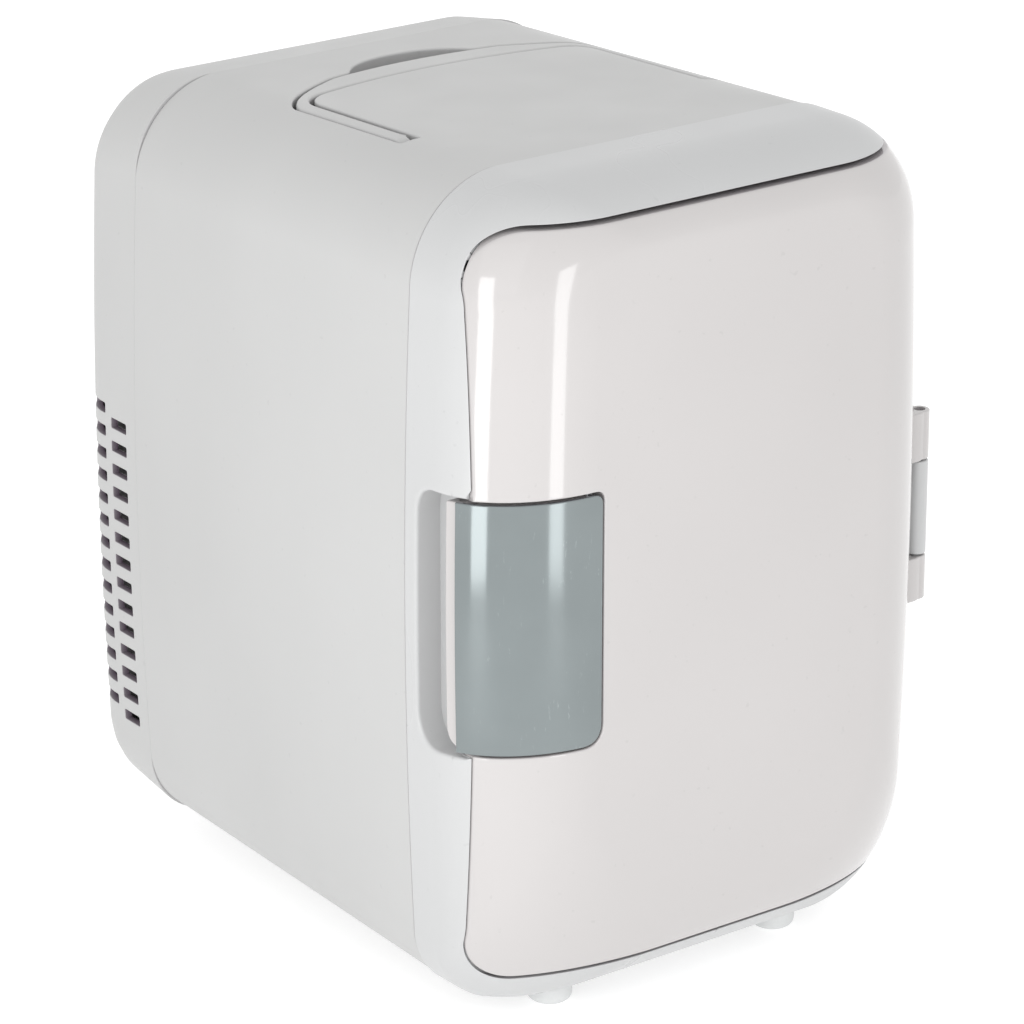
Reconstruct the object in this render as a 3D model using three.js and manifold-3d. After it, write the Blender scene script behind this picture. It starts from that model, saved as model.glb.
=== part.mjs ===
// Mini fridge: a small thermoelectric cooler box with a curved front door, a finger latch, a folding
// carry handle and a rear cover over the heat pump, fan and power board.
// Millimetres. +X is the viewer's right, +Y runs to the back and +Z is up. The cabinet is drawn about
// the middle of the seam between front frame and outer shell, and the whole fridge is then moved so
// that its origin is the middle of its footprint, on the floor.
import * as THREE from 'three';
import { mergeVertices } from 'three/addons/utils/BufferGeometryUtils.js';
import Module from 'manifold-3d';

const wasm = await Module();
wasm.setup();

// Driving dimensions of the cabinet
const HALF_WIDTH = 88;
const TOP_HEIGHT = 129.5;
const BASE_DEPTH = 126;
const CORNER_RADIUS = 32.5;
const LOWER_RADIUS = 24;
const SIDE_BOW = 2.5;
const WALL = 2.5;
const GAP = 0.3;
const SHELL_STEP = 0.5;
const SHELL_BACK_Y = 147.6;
const REAR_HALF_WIDTH = 84.8;
const REAR_TOP_HEIGHT = 124.3;
const REAR_BASE_DEPTH = 122;
const REAR_RADIUS = 32;
const REAR_LOWER_RADIUS = 27;
const COVER_STEP = 1;
const COVER_CORNER_STEP = 3.5;
const COVER_BACK_Y = 180;
const COVER_EDGE = 13;
const COVER_DRAW_IN = 9;
const COVER_SLOPE = 4;
const FOOT_HEIGHT = 6.5;
const FOOT_RADIUS = 7;
const FOOT_STEM = 2;

// Curved front: quarter ellipses that roll from the sides to a nearly flat face
const ROLL_START_Y = -13;
const ROLL_DEPTH = 29;
const ROLL_LEFT = 40;
const ROLL_RIGHT = 31;
const ROLL_TOP = 20;
const ROLL_BOTTOM = 27;
const FACE_RADIUS = 20;
const FACE_LOWER_RADIUS = 47;
const FACE_CROWN = 1;
const ROLL_STEPS = 7;

// Door and its opening in the frame
const DOOR_LEFT = 82.6;
const DOOR_TOP = 119.2;
const DOOR_BOTTOM = 112.8;
const DOOR_CORNER = 17.5;
const DOOR_LOWER_CORNER = 14;
const DOOR_SIDE_GAP = 0.35;
const DOOR_TOP_GAP = 1.4;
const DOOR_BASE_GAP = 1;
const DOOR_BACK_Y = -21.6;
const FRAME_FACE_Y = -21;
const LINER_PLATE_Y = -24.5;
const LINER_PLATE = 2;
const TRAY_HALF_WIDTH = 62;
const TRAY_HALF_HEIGHT = 92;
const TRAY_BACK_Y = -10;

// Hinge on the right flank
const HINGE_X = 92.8;
const HINGE_Y = -20.8;
const KNUCKLE_RADIUS = 3.2;
const HINGE_PIN_RADIUS = 1.5;
const KNUCKLE_ENDS = [30.4, 14.3, -16.9, -31.5];

// Latch on the left edge of the door
const LATCH_TOP = 39.8;
const LATCH_BOTTOM = 37.8;
const LATCH_RIGHT_X = -47.5;
const LATCH_GAP = 0.8;
const PLATE_BACK_Y = -22.4;
const LEVER_BACK_Y = -18;
const LATCH_PIN_X = -50.5;
const LATCH_PIN_Y = -39;
const PLATE_PROUD = 0.4;
const PLATE_THICK = 1.2;
const LEVER_DEPTH = 5;
const POCKET_DEPTH = 5.9;
const RECESS_TOP = 41;
const RECESS_BOTTOM = 39.5;
const RECESS_FLOOR_X = -79;
const RECESS_BACK_Y = -6;

// Cold chamber
const CHAMBER_HALF_WIDTH = 67;
const CHAMBER_HALF_HEIGHT = 99;
const CHAMBER_BACK_Y = 112;
const CHAMBER_RADIUS = 12;
const LINER_WALL = 1.6;
const SHELF_Z = -4;
const SHELF_THICK = 2.4;

// Carry handle, set flush into the top of the shell
const HANDLE_X = 2.5;
const HANDLE_HALF_WIDTH = 60;
const HANDLE_LEG = 5;
const HANDLE_CORNER_Y = 92;
const HANDLE_BACK_Y = 120;
const HANDLE_INNER_BACK_Y = 108;
const HANDLE_PIVOT_Y = 46;
const HANDLE_PIVOT_Z = 123;
const HANDLE_END_RADIUS = 4.4;
const HANDLE_THICK = 7.5;
const HANDLE_GAP = 0.6;
const HANDLE_INNER_GAP = 1.5;
const CHANNEL_DEPTH = 11;
const TRAY_DEPTH = 13.5;
const FINGER_HALF_WIDTH = 23.5;
const FINGER_BACK_Y = 130;

// Heat pump, fan and power parts behind the chamber
const MODULE_SIZE = 40;
const MODULE_THICK = 3.6;
const BLOCK_BACK_Y = 120;
const SINK_HALF = 45;
const SINK_BASE = 5;
const SINK_BACK_Y = 148;
const SINK_FINS = 13;
const FAN_Z = 6;
const FAN_HALF = 40;
const FAN_FRONT_Y = 150;
const FAN_DEPTH = 15;
const FAN_BORE = 37.5;
const FAN_BLADES = 7;
const FAN_SCREW_PITCH = 71.5;
const BOARD_Y = 152;
const BOARD_Z = [-112, -54];

// Openings in the rear cover
const VENT_PITCH = 7.7;
const VENT_ROWS = 14;
const VENT_HEIGHT = 3.4;
const VENT_TOP_Z = 11.8;
const VENT_INNER_X = 73;
const VENT_NEAR_Y = [154, 163];
const VENT_FAR_Y = [166.5, 178];
const SOCKET_Z = -92;
const SOCKET_X = 38;

const COVER_SCREWS = [[-54, 96], [54, 96], [-58, -86], [58, -86]];

const WHITE_SHELL = { color: 0xdfe1df, roughness: 0.42, metalness: 0 };
const WHITE_FRAME = { color: 0xe4e8e7, roughness: 0.28, metalness: 0 };
const WHITE_DOOR = { color: 0xf0ebea, roughness: 0.16, metalness: 0 };
const SILVER = { color: 0xa3aeae, roughness: 0.3, metalness: 0.6 };
const GREY_LINER = { color: 0xd5d8da, roughness: 0.4, metalness: 0 };
const FOAM = { color: 0xf4f3ee, roughness: 0.95, metalness: 0 };
const RUBBER = { color: 0xb9bcbc, roughness: 0.85, metalness: 0 };
const ALUMINIUM = { color: 0xb4b8bb, roughness: 0.35, metalness: 1 };
const STEEL = { color: 0x8f9296, roughness: 0.3, metalness: 1 };
const CERAMIC = { color: 0xf2f0ea, roughness: 0.7, metalness: 0 };
const BLACK = { color: 0x1d1e20, roughness: 0.5, metalness: 0 };
const BOARD_GREEN = { color: 0x2c6b43, roughness: 0.5, metalness: 0 };
const COPPER_COIL = { color: 0xc98a2b, roughness: 0.5, metalness: 0.3 };
const RED_LENS = { color: 0xc23a32, roughness: 0.2, metalness: 0 };
const GREEN_LENS = { color: 0x3aa655, roughness: 0.2, metalness: 0 };

// Solids from three.js geometry, joined and cut with manifold-3d
function solid(geometry) {
  const bare = geometry.clone();
  bare.deleteAttribute('normal');
  bare.deleteAttribute('uv');
  const merged = mergeVertices(bare, 1e-4);
  return new wasm.Manifold(new wasm.Mesh({
    numProp: 3,
    vertProperties: new Float32Array(merged.attributes.position.array),
    triVerts: new Uint32Array(merged.index.array),
  }));
}

function geometryOf(manifold) {
  const mesh = manifold.getMesh();
  const geometry = new THREE.BufferGeometry();
  geometry.setAttribute('position', new THREE.BufferAttribute(mesh.vertProperties, 3));
  geometry.setIndex(new THREE.BufferAttribute(mesh.triVerts, 1));
  geometry.computeVertexNormals();
  return geometry;
}

function addPart(parent, name, manifold, look) {
  const mesh = new THREE.Mesh(geometryOf(manifold), new THREE.MeshStandardMaterial(look));
  mesh.name = name;
  parent.add(mesh);
  return mesh;
}

function block(x, y, z) {
  const geometry = new THREE.BoxGeometry(x[1] - x[0], y[1] - y[0], z[1] - z[0]);
  geometry.translate((x[0] + x[1]) / 2, (y[0] + y[1]) / 2, (z[0] + z[1]) / 2);
  return solid(geometry);
}

// A round bar from low to high along an axis, at the two other coordinates of centre
function bar(axis, radius, low, high, centre, sides = 20) {
  const geometry = new THREE.CylinderGeometry(radius, radius, high - low, sides);
  if (axis === 'x') geometry.rotateZ(-Math.PI / 2);
  if (axis === 'z') geometry.rotateX(Math.PI / 2);
  const place = new THREE.Vector3(...centre);
  place[axis] = (low + high) / 2;
  geometry.translate(place.x, place.y, place.z);
  return solid(geometry);
}

// A shape drawn in X and Z, extruded along Y
function frontPrism(shape, lowY, highY) {
  const settings = { depth: highY - lowY, bevelEnabled: false, curveSegments: 8 };
  const geometry = new THREE.ExtrudeGeometry(shape, settings);
  geometry.rotateX(Math.PI / 2);
  geometry.translate(0, highY, 0);
  return solid(geometry);
}

// A shape drawn in Y and Z, extruded along X
function sidePrism(shape, lowX, highX) {
  const settings = { depth: highX - lowX, bevelEnabled: false, curveSegments: 6 };
  const geometry = new THREE.ExtrudeGeometry(shape, settings);
  geometry.rotateX(Math.PI / 2);
  geometry.rotateZ(Math.PI / 2);
  geometry.translate(lowX, 0, 0);
  return solid(geometry);
}

// A shape drawn in X and Y, extruded along Z and moved sideways to x
function topPrism(shape, lowZ, highZ, x = 0) {
  const settings = { depth: highZ - lowZ, bevelEnabled: false, curveSegments: 10 };
  const geometry = new THREE.ExtrudeGeometry(shape, settings);
  geometry.translate(x, 0, lowZ);
  return solid(geometry);
}

// A closed rounded outline, drawn anticlockwise, whose left and right sides bow outwards. Its two
// lower corners can have a radius of their own.
function outline({ left, right, top, bottom, radius, lowerRadius = radius, bow = 0, steps = 7 }) {
  const points = [];
  const corner = (sideX, endZ, from, size) => {
    const x = sideX - Math.sign(sideX) * size;
    const z = endZ - Math.sign(endZ) * size;
    for (let i = 0; i <= steps; i++) {
      const angle = (from + i / steps) * Math.PI / 2;
      points.push(new THREE.Vector2(x + size * Math.cos(angle), z + size * Math.sin(angle)));
    }
  };
  const side = (x, low, high, direction) => {
    for (const s of [-0.5, 0, 0.5]) {
      const z = (low + high) / 2 + s * (high - low) / 2;
      points.push(new THREE.Vector2(x + direction * bow * (1 - s * s), z));
    }
  };
  side(right - bow, -bottom + lowerRadius, top - radius, 1);
  corner(right - bow, top, 0, radius);
  corner(-left + bow, top, 1, radius);
  side(-left + bow, top - radius, -bottom + lowerRadius, -1);
  corner(-left + bow, -bottom, 2, lowerRadius);
  corner(right - bow, -bottom, 3, lowerRadius);
  return points;
}

function evenOutline(halfWidth, halfHeight, radius, bow = 0, steps = 7) {
  return outline({
    left: halfWidth, right: halfWidth, top: halfHeight, bottom: halfHeight, radius, bow, steps,
  });
}

function roundedBox(halfWidth, halfHeight, radius, lowY, highY, steps = 5) {
  return frontPrism(new THREE.Shape(evenOutline(halfWidth, halfHeight, radius, 0, steps)), lowY, highY);
}

// A skin through outlines that share a point count, listed from back to front, closed at both ends
function loft(sections) {
  const count = sections[0].points.length;
  const positions = [];
  const triangles = [];
  for (const { points, y } of sections) {
    for (const point of points) positions.push(point.x, y, point.y);
  }
  for (let row = 0; row + 1 < sections.length; row++) {
    for (let i = 0; i < count; i++) {
      const a = row * count + i;
      const b = row * count + (i + 1) % count;
      triangles.push(a, b, b + count, a, b + count, a + count);
    }
  }
  const cap = (row, order) => {
    const centre = new THREE.Vector2();
    for (const point of sections[row].points) centre.addScaledVector(point, 1 / count);
    const hub = positions.length / 3;
    positions.push(centre.x, sections[row].y, centre.y);
    for (let i = 0; i < count; i++) {
      const pair = [row * count + i, row * count + (i + 1) % count];
      triangles.push(hub, pair[order], pair[1 - order]);
    }
  };
  cap(0, 1);
  cap(sections.length - 1, 0);
  const geometry = new THREE.BufferGeometry();
  geometry.setAttribute('position', new THREE.Float32BufferAttribute(positions, 3));
  geometry.setIndex(triangles);
  return solid(geometry);
}

// The outer form of frame and door together, moved inwards by inset all over
function frontForm(inset, backY = -GAP) {
  const section = (cosine, y, sine = 0) => ({
    y,
    points: outline({
      left: HALF_WIDTH - ROLL_LEFT + (ROLL_LEFT - inset) * cosine,
      right: HALF_WIDTH - ROLL_RIGHT + (ROLL_RIGHT - inset) * cosine,
      top: TOP_HEIGHT - ROLL_TOP + (ROLL_TOP - inset) * cosine,
      bottom: BASE_DEPTH - ROLL_BOTTOM + (ROLL_BOTTOM - inset) * cosine,
      radius: FACE_RADIUS + (CORNER_RADIUS - FACE_RADIUS - inset) * cosine,
      lowerRadius: LOWER_RADIUS - inset * cosine + (FACE_LOWER_RADIUS - LOWER_RADIUS) * sine,
      bow: SIDE_BOW * cosine,
    }),
  });
  const sections = [section(1, backY)];
  for (let i = 0; i <= ROLL_STEPS; i++) {
    const angle = i / ROLL_STEPS * Math.PI / 2;
    const y = ROLL_START_Y - (ROLL_DEPTH - inset) * Math.sin(angle);
    sections.push(section(Math.cos(angle), y, Math.sin(angle)));
  }
  const face = sections[sections.length - 1];
  const middle = new THREE.Vector2((ROLL_LEFT - ROLL_RIGHT) / 2, 0);
  for (const [scale, crown] of [[0.75, 0.55], [0.4, 1]]) {
    sections.push({
      y: face.y - crown * FACE_CROWN,
      points: face.points.map((point) => point.clone().sub(middle).multiplyScalar(scale).add(middle)),
    });
  }
  return loft(sections);
}

// The outer form of the shell, which tapers to the rear, moved inwards by inset
function shellForm(inset, frontY = GAP, backY = SHELL_BACK_Y) {
  const section = (y) => {
    const between = (front, rear) => THREE.MathUtils.lerp(front - SHELL_STEP, rear, y / SHELL_BACK_Y) - inset;
    const halfWidth = between(HALF_WIDTH, REAR_HALF_WIDTH);
    return {
      y,
      points: outline({
        left: halfWidth,
        right: halfWidth,
        top: between(TOP_HEIGHT, REAR_TOP_HEIGHT),
        bottom: between(BASE_DEPTH, REAR_BASE_DEPTH),
        radius: between(CORNER_RADIUS, REAR_RADIUS),
        lowerRadius: between(LOWER_RADIUS, REAR_LOWER_RADIUS),
        bow: SIDE_BOW,
      }),
    };
  };
  return loft([section(backY), section(frontY)]);
}

// The rear cover's outer form: it narrows over rounded rear edges to a flat back
function coverForm(inset, frontY) {
  const section = (y, drawIn) => {
    const slope = COVER_SLOPE * (y - SHELL_BACK_Y) / (COVER_BACK_Y - SHELL_BACK_Y);
    const narrower = COVER_STEP + inset + drawIn;
    const lower = COVER_STEP + inset + drawIn * 1.2 + slope;
    const tighter = COVER_CORNER_STEP + inset + drawIn * 0.3;
    return {
      y,
      points: outline({
        left: REAR_HALF_WIDTH - narrower,
        right: REAR_HALF_WIDTH - narrower,
        top: REAR_TOP_HEIGHT - lower,
        bottom: REAR_BASE_DEPTH - lower,
        radius: REAR_RADIUS - tighter,
        lowerRadius: REAR_LOWER_RADIUS - tighter,
        bow: SIDE_BOW * (1 - drawIn / 20),
        steps: 5,
      }),
    };
  };
  const sections = [];
  const backY = COVER_BACK_Y - inset;
  for (let i = 0; i <= 4; i++) {
    const angle = i / 4 * Math.PI / 2;
    sections.push(section(backY - (COVER_EDGE - inset) * (1 - Math.cos(angle)),
      COVER_DRAW_IN * (1 - Math.sin(angle))));
  }
  sections.push(section(frontY, -0.6));
  return loft(sections);
}

// The door's outline grown beside, above and below it, extruded along Y. It runs out past the right
// flank, where the form it is cut from ends it.
function doorPrism(lowY, highY, side, above = side, below = side) {
  const points = outline({
    left: DOOR_LEFT + side,
    right: HALF_WIDTH + 2 * DOOR_CORNER,
    top: DOOR_TOP + above,
    bottom: DOOR_BOTTOM + below,
    radius: DOOR_CORNER + (side + above) / 2,
    lowerRadius: DOOR_LOWER_CORNER + (side + below) / 2,
  });
  return frontPrism(new THREE.Shape(points), lowY, highY);
}

// Outline of the latch in X and Z: tight corners at the top right, larger ones at the bottom right
function latchPrism(grow, leftX) {
  const right = LATCH_RIGHT_X + grow;
  const top = LATCH_TOP + grow;
  const bottom = -LATCH_BOTTOM - grow;
  const shape = new THREE.Shape();
  shape.moveTo(leftX, bottom);
  shape.lineTo(right - 7, bottom);
  shape.quadraticCurveTo(right, bottom, right, bottom + 7);
  shape.lineTo(right, top - 3);
  shape.quadraticCurveTo(right, top, right - 3, top);
  shape.lineTo(leftX, top);
  shape.closePath();
  return frontPrism(shape, -60, 0);
}

// Outline of the carry handle in X and Y, about its own middle: straight legs and a bowed bar at the
// back. The channel around it is the same outline grown by gap, with a wider gap inside the legs.
function handleShape(gap, innerGap) {
  const frontY = HANDLE_PIVOT_Y - HANDLE_END_RADIUS - gap;
  const outer = HANDLE_HALF_WIDTH + gap;
  const inner = HANDLE_HALF_WIDTH - HANDLE_LEG - innerGap;
  const outerCornerY = HANDLE_CORNER_Y + 3 * gap;
  const innerCornerY = HANDLE_CORNER_Y - 1;
  const bendX = inner - 9;
  const bendY = HANDLE_CORNER_Y + 11.5 - gap;
  const endX = FINGER_HALF_WIDTH + 8;
  const shape = new THREE.Shape();
  shape.moveTo(-outer, frontY);
  shape.lineTo(-inner, frontY);
  shape.lineTo(-inner, innerCornerY);
  shape.quadraticCurveTo(-inner, bendY - 3, -bendX, bendY);
  shape.quadraticCurveTo(0, HANDLE_INNER_BACK_Y + 6.5 - gap, bendX, bendY);
  shape.quadraticCurveTo(inner, bendY - 3, inner, innerCornerY);
  shape.lineTo(inner, frontY);
  shape.lineTo(outer, frontY);
  shape.lineTo(outer, outerCornerY);
  shape.quadraticCurveTo(outer, HANDLE_BACK_Y - 16 + gap, endX, HANDLE_BACK_Y - 3 + gap);
  shape.quadraticCurveTo(0, HANDLE_BACK_Y + 3.5 + gap, -endX, HANDLE_BACK_Y - 3 + gap);
  shape.quadraticCurveTo(-outer, HANDLE_BACK_Y - 16 + gap, -outer, outerCornerY);
  shape.closePath();
  return shape;
}

// Outline of the finger hollow behind the middle of the bar
function fingerShape() {
  const shape = new THREE.Shape();
  const half = FINGER_HALF_WIDTH;
  shape.moveTo(-half, HANDLE_BACK_Y - 4);
  shape.lineTo(half, HANDLE_BACK_Y - 4);
  shape.lineTo(half, HANDLE_BACK_Y - 1);
  shape.quadraticCurveTo(half * 0.7, FINGER_BACK_Y, 0, FINGER_BACK_Y);
  shape.quadraticCurveTo(-half * 0.7, FINGER_BACK_Y, -half, HANDLE_BACK_Y - 1);
  shape.closePath();
  return shape;
}

// Plan of the block that the handle channel is sunk into
function trayShape() {
  const side = HANDLE_HALF_WIDTH + 4.5;
  const shape = new THREE.Shape();
  shape.moveTo(-side, HANDLE_PIVOT_Y - 9);
  shape.lineTo(side, HANDLE_PIVOT_Y - 9);
  shape.lineTo(side, HANDLE_CORNER_Y + 2);
  shape.quadraticCurveTo(side, HANDLE_BACK_Y - 6, FINGER_HALF_WIDTH + 10, FINGER_BACK_Y + 2);
  shape.lineTo(-FINGER_HALF_WIDTH - 10, FINGER_BACK_Y + 2);
  shape.quadraticCurveTo(-side, HANDLE_BACK_Y - 6, -side, HANDLE_CORNER_Y + 2);
  shape.closePath();
  return shape;
}

const cabinet = new THREE.Group();
const door = new THREE.Group();
const latch = new THREE.Group();
const handle = new THREE.Group();
const fan = new THREE.Group();
const modeSwitch = new THREE.Group();

// Front frame: the rolled front rim, hollow from behind, with the finger recess in its left flank
function makeFrontFrame() {
  const aroundLiner = LINER_WALL + GAP;
  const opening = roundedBox(CHAMBER_HALF_WIDTH + aroundLiner, CHAMBER_HALF_HEIGHT + aroundLiner,
    CHAMBER_RADIUS + aroundLiner, -60, 10);
  const throatWall = aroundLiner + 2;
  const throat = roundedBox(CHAMBER_HALF_WIDTH + throatWall, CHAMBER_HALF_HEIGHT + throatWall,
    CHAMBER_RADIUS + throatWall, -60, 10);
  const hollowSection = (y, beside, above) => ({
    y,
    points: outline({
      left: HALF_WIDTH - beside,
      right: HALF_WIDTH - beside,
      top: TOP_HEIGHT - above,
      bottom: BASE_DEPTH - above,
      radius: CORNER_RADIUS - WALL,
      lowerRadius: LOWER_RADIUS - WALL,
      bow: SIDE_BOW,
    }),
  });
  const hollow = loft([
    hollowSection(5, WALL, WALL),
    hollowSection(FRAME_FACE_Y + WALL, WALL + 1.5, WALL + 2),
  ]).subtract(throat);
  const cup = block([-HALF_WIDTH + 2, RECESS_FLOOR_X + 2], [FRAME_FACE_Y, RECESS_BACK_Y + 2],
    [-RECESS_BOTTOM - 2, RECESS_TOP + 2]);
  const recess = new THREE.Shape();
  recess.moveTo(-40, -RECESS_BOTTOM);
  recess.lineTo(RECESS_BACK_Y - 10, -RECESS_BOTTOM);
  recess.quadraticCurveTo(RECESS_BACK_Y, -RECESS_BOTTOM, RECESS_BACK_Y, -RECESS_BOTTOM + 12);
  recess.lineTo(RECESS_BACK_Y, RECESS_TOP - 9);
  recess.quadraticCurveTo(RECESS_BACK_Y, RECESS_TOP, RECESS_BACK_Y - 9, RECESS_TOP);
  recess.lineTo(-40, RECESS_TOP);
  recess.closePath();
  const [top, upper, lower, bottom] = KNUCKLE_ENDS;
  const knuckleZ = [lower + GAP, upper - GAP];
  const knuckle = bar('z', KNUCKLE_RADIUS, ...knuckleZ, [HINGE_X, HINGE_Y, 0])
    .add(block([HALF_WIDTH - 3, HINGE_X], [FRAME_FACE_Y, FRAME_FACE_Y + 3.6], knuckleZ))
    .subtract(bar('z', HINGE_PIN_RADIUS + GAP, -60, 60, [HINGE_X, HINGE_Y, 0], 12));
  const doorPath = bar('z', KNUCKLE_RADIUS + 0.6, upper - GAP, top + 1, [HINGE_X, HINGE_Y, 0])
    .add(bar('z', KNUCKLE_RADIUS + 0.6, bottom - 1, lower + GAP, [HINGE_X, HINGE_Y, 0]));
  const frame = frontForm(0)
    .subtract(doorPrism(-60, FRAME_FACE_Y, DOOR_SIDE_GAP, DOOR_TOP_GAP, DOOR_BASE_GAP))
    .subtract(hollow)
    .subtract(opening)
    .add(cup)
    .subtract(sidePrism(recess, RECESS_FLOOR_X - 20, RECESS_FLOOR_X))
    .add(knuckle)
    .subtract(doorPath);
  addPart(cabinet, 'front_frame', cutFootSockets(frame), WHITE_FRAME);
}

const FEET = [
  ['foot_front_left', -44, -13],
  ['foot_front_right', 44, -13],
  ['foot_rear_left', -42, 132],
  ['foot_rear_right', 42, 132],
];

// Each foot's stem goes into a hole in the base above it
function cutFootSockets(body) {
  let result = body;
  for (const [, x, y] of FEET) {
    result = result.subtract(bar('z', FOOT_STEM + GAP, -BASE_DEPTH - 1, -BASE_DEPTH + 12, [x, y, 0], 12));
  }
  return result;
}

// Round feet with a rounded lower edge; the rear pair is taller, because the base rises to the back
function makeFeet() {
  const round = 2.6;
  for (const [name, x, y] of FEET) {
    const rear = THREE.MathUtils.lerp(BASE_DEPTH - SHELL_STEP, REAR_BASE_DEPTH, y / SHELL_BACK_Y);
    const floorZ = -BASE_DEPTH - FOOT_HEIGHT;
    const baseZ = y < 0 ? -BASE_DEPTH : -rear;
    const clearance = y < 0 ? GAP : 3 * GAP;
    const top = baseZ - floorZ - clearance;
    const profile = [new THREE.Vector2(0, 0), new THREE.Vector2(FOOT_RADIUS - round, 0)];
    for (let i = 1; i <= 4; i++) {
      const angle = i / 4 * Math.PI / 2;
      const radius = FOOT_RADIUS - round * (1 - Math.sin(angle));
      profile.push(new THREE.Vector2(radius, round * (1 - Math.cos(angle))));
    }
    profile.push(new THREE.Vector2(FOOT_RADIUS, top));
    profile.push(new THREE.Vector2(FOOT_STEM, top));
    profile.push(new THREE.Vector2(FOOT_STEM, top + 2.5));
    profile.push(new THREE.Vector2(0, top + 2.5));
    const geometry = new THREE.LatheGeometry(profile, 20);
    geometry.rotateX(Math.PI / 2);
    geometry.translate(x, y, floorZ);
    addPart(cabinet, name, solid(geometry), RUBBER);
  }
}

// Outer shell: the tapered sleeve, with the handle channel and finger hollow in its top
function makeOuterShell() {
  const deep = (shape, outer, inner) => shellForm(outer).subtract(shellForm(inner, -5, SHELL_BACK_Y + 5))
    .intersect(topPrism(shape, 60, 160, HANDLE_X));
  const island = new THREE.Shape();
  const inner = HANDLE_HALF_WIDTH - HANDLE_LEG - HANDLE_INNER_GAP - WALL;
  island.moveTo(-inner, HANDLE_PIVOT_Y - 12);
  island.lineTo(inner, HANDLE_PIVOT_Y - 12);
  island.lineTo(inner, HANDLE_CORNER_Y - 4);
  island.lineTo(-inner, HANDLE_CORNER_Y - 4);
  island.closePath();
  const pivotHoles = bar('x', HINGE_PIN_RADIUS + GAP, HANDLE_X - HANDLE_HALF_WIDTH - 3.3,
    HANDLE_X + HANDLE_HALF_WIDTH + 3.3, [0, HANDLE_PIVOT_Y, HANDLE_PIVOT_Z], 12);
  const shell = shellForm(0)
    .subtract(shellForm(WALL, -5, SHELL_BACK_Y + 5))
    .add(deep(trayShape(), 0, TRAY_DEPTH))
    .subtract(deep(island, WALL, TRAY_DEPTH + 4))
    .subtract(deep(handleShape(HANDLE_GAP, HANDLE_INNER_GAP), -4, CHANNEL_DEPTH))
    .subtract(deep(fingerShape(), -4, CHANNEL_DEPTH))
    .subtract(pivotHoles);
  addPart(cabinet, 'outer_shell', cutFootSockets(shell), WHITE_SHELL);
}

// Carry handle: a bail that follows the shell's top and turns up about two short pins. Its legs end
// in a half round about the pins, so that they turn clear of the channel's front wall.
function makeCarryHandle() {
  const skin = shellForm(0).subtract(shellForm(HANDLE_THICK, -5, SHELL_BACK_Y + 5));
  const pivot = [0, HANDLE_PIVOT_Y, HANDLE_PIVOT_Z];
  const pivotHole = bar('x', HINGE_PIN_RADIUS + GAP, -80, 80, pivot, 12);
  const beyondEnd = block([-80, 80], [HANDLE_PIVOT_Y - 20, HANDLE_PIVOT_Y], [60, 160])
    .subtract(bar('x', HANDLE_END_RADIUS, -90, 90, pivot, 32));
  const bail = skin.intersect(topPrism(handleShape(0, 0), 60, 160, HANDLE_X))
    .subtract(beyondEnd)
    .subtract(pivotHole);
  addPart(handle, 'carry_handle', bail, WHITE_SHELL);
  for (const [name, side] of [['handle_pin_left', -1], ['handle_pin_right', 1]]) {
    const ends = [HANDLE_HALF_WIDTH - HANDLE_LEG + 0.6, HANDLE_HALF_WIDTH + 3].map((x) => HANDLE_X + side * x);
    const pin = bar('x', HINGE_PIN_RADIUS, Math.min(...ends), Math.max(...ends), pivot, 12);
    addPart(cabinet, name, pin, STEEL);
  }
}

// Chamber liner: an open-fronted box with shelf ledges and a hole in its back for the cold block
function makeInnerLiner() {
  const hollow = roundedBox(CHAMBER_HALF_WIDTH, CHAMBER_HALF_HEIGHT, CHAMBER_RADIUS, -40, CHAMBER_BACK_Y);
  let liner = roundedBox(CHAMBER_HALF_WIDTH + LINER_WALL, CHAMBER_HALF_HEIGHT + LINER_WALL,
    CHAMBER_RADIUS + LINER_WALL, FRAME_FACE_Y + 0.5, CHAMBER_BACK_Y + LINER_WALL).subtract(hollow);
  for (const side of [-1, 1]) {
    const wall = side * CHAMBER_HALF_WIDTH;
    const x = [Math.min(wall - side * 3, wall + side), Math.max(wall - side * 3, wall + side)];
    liner = liner.add(block(x, [4, 100], [SHELF_Z - 3, SHELF_Z - GAP]));
  }
  const half = MODULE_SIZE / 2 + GAP;
  liner = liner.subtract(block([-half, half], [100, 130], [FAN_Z - half, FAN_Z + half]));
  addPart(cabinet, 'inner_liner', liner, GREY_LINER);
}

// Insulation between liner and shell, with room for the handle tray and the cold block
function makeFoam() {
  const half = MODULE_SIZE / 2 + 1;
  const trayX = [HANDLE_X - HANDLE_HALF_WIDTH - 6, HANDLE_X + HANDLE_HALF_WIDTH + 6];
  const foam = shellForm(WALL + GAP, 2, BLOCK_BACK_Y)
    .subtract(roundedBox(CHAMBER_HALF_WIDTH + LINER_WALL + GAP, CHAMBER_HALF_HEIGHT + LINER_WALL + GAP,
      CHAMBER_RADIUS + LINER_WALL + GAP, -40, CHAMBER_BACK_Y + LINER_WALL + GAP))
    .subtract(block([-half, half], [100, 130], [FAN_Z - half, FAN_Z + half]))
    .subtract(block(trayX, [HANDLE_PIVOT_Y - 11, 160], [REAR_TOP_HEIGHT - TRAY_DEPTH - 8.5, 160]));
  addPart(cabinet, 'foam_insulation', foam, FOAM);
}

function makeShelf() {
  const half = CHAMBER_HALF_WIDTH - 1.2;
  let shelf = block([-half, half], [6, 104], [SHELF_Z, SHELF_Z + SHELF_THICK]);
  const slots = 7;
  for (let i = 0; i < slots; i++) {
    const x = (i - (slots - 1) / 2) * 17;
    shelf = shelf.subtract(block([x - 5.5, x + 5.5], [16, 94], [SHELF_Z - 2, SHELF_Z + 6]));
  }
  addPart(cabinet, 'shelf', shelf, GREY_LINER);
}

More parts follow.
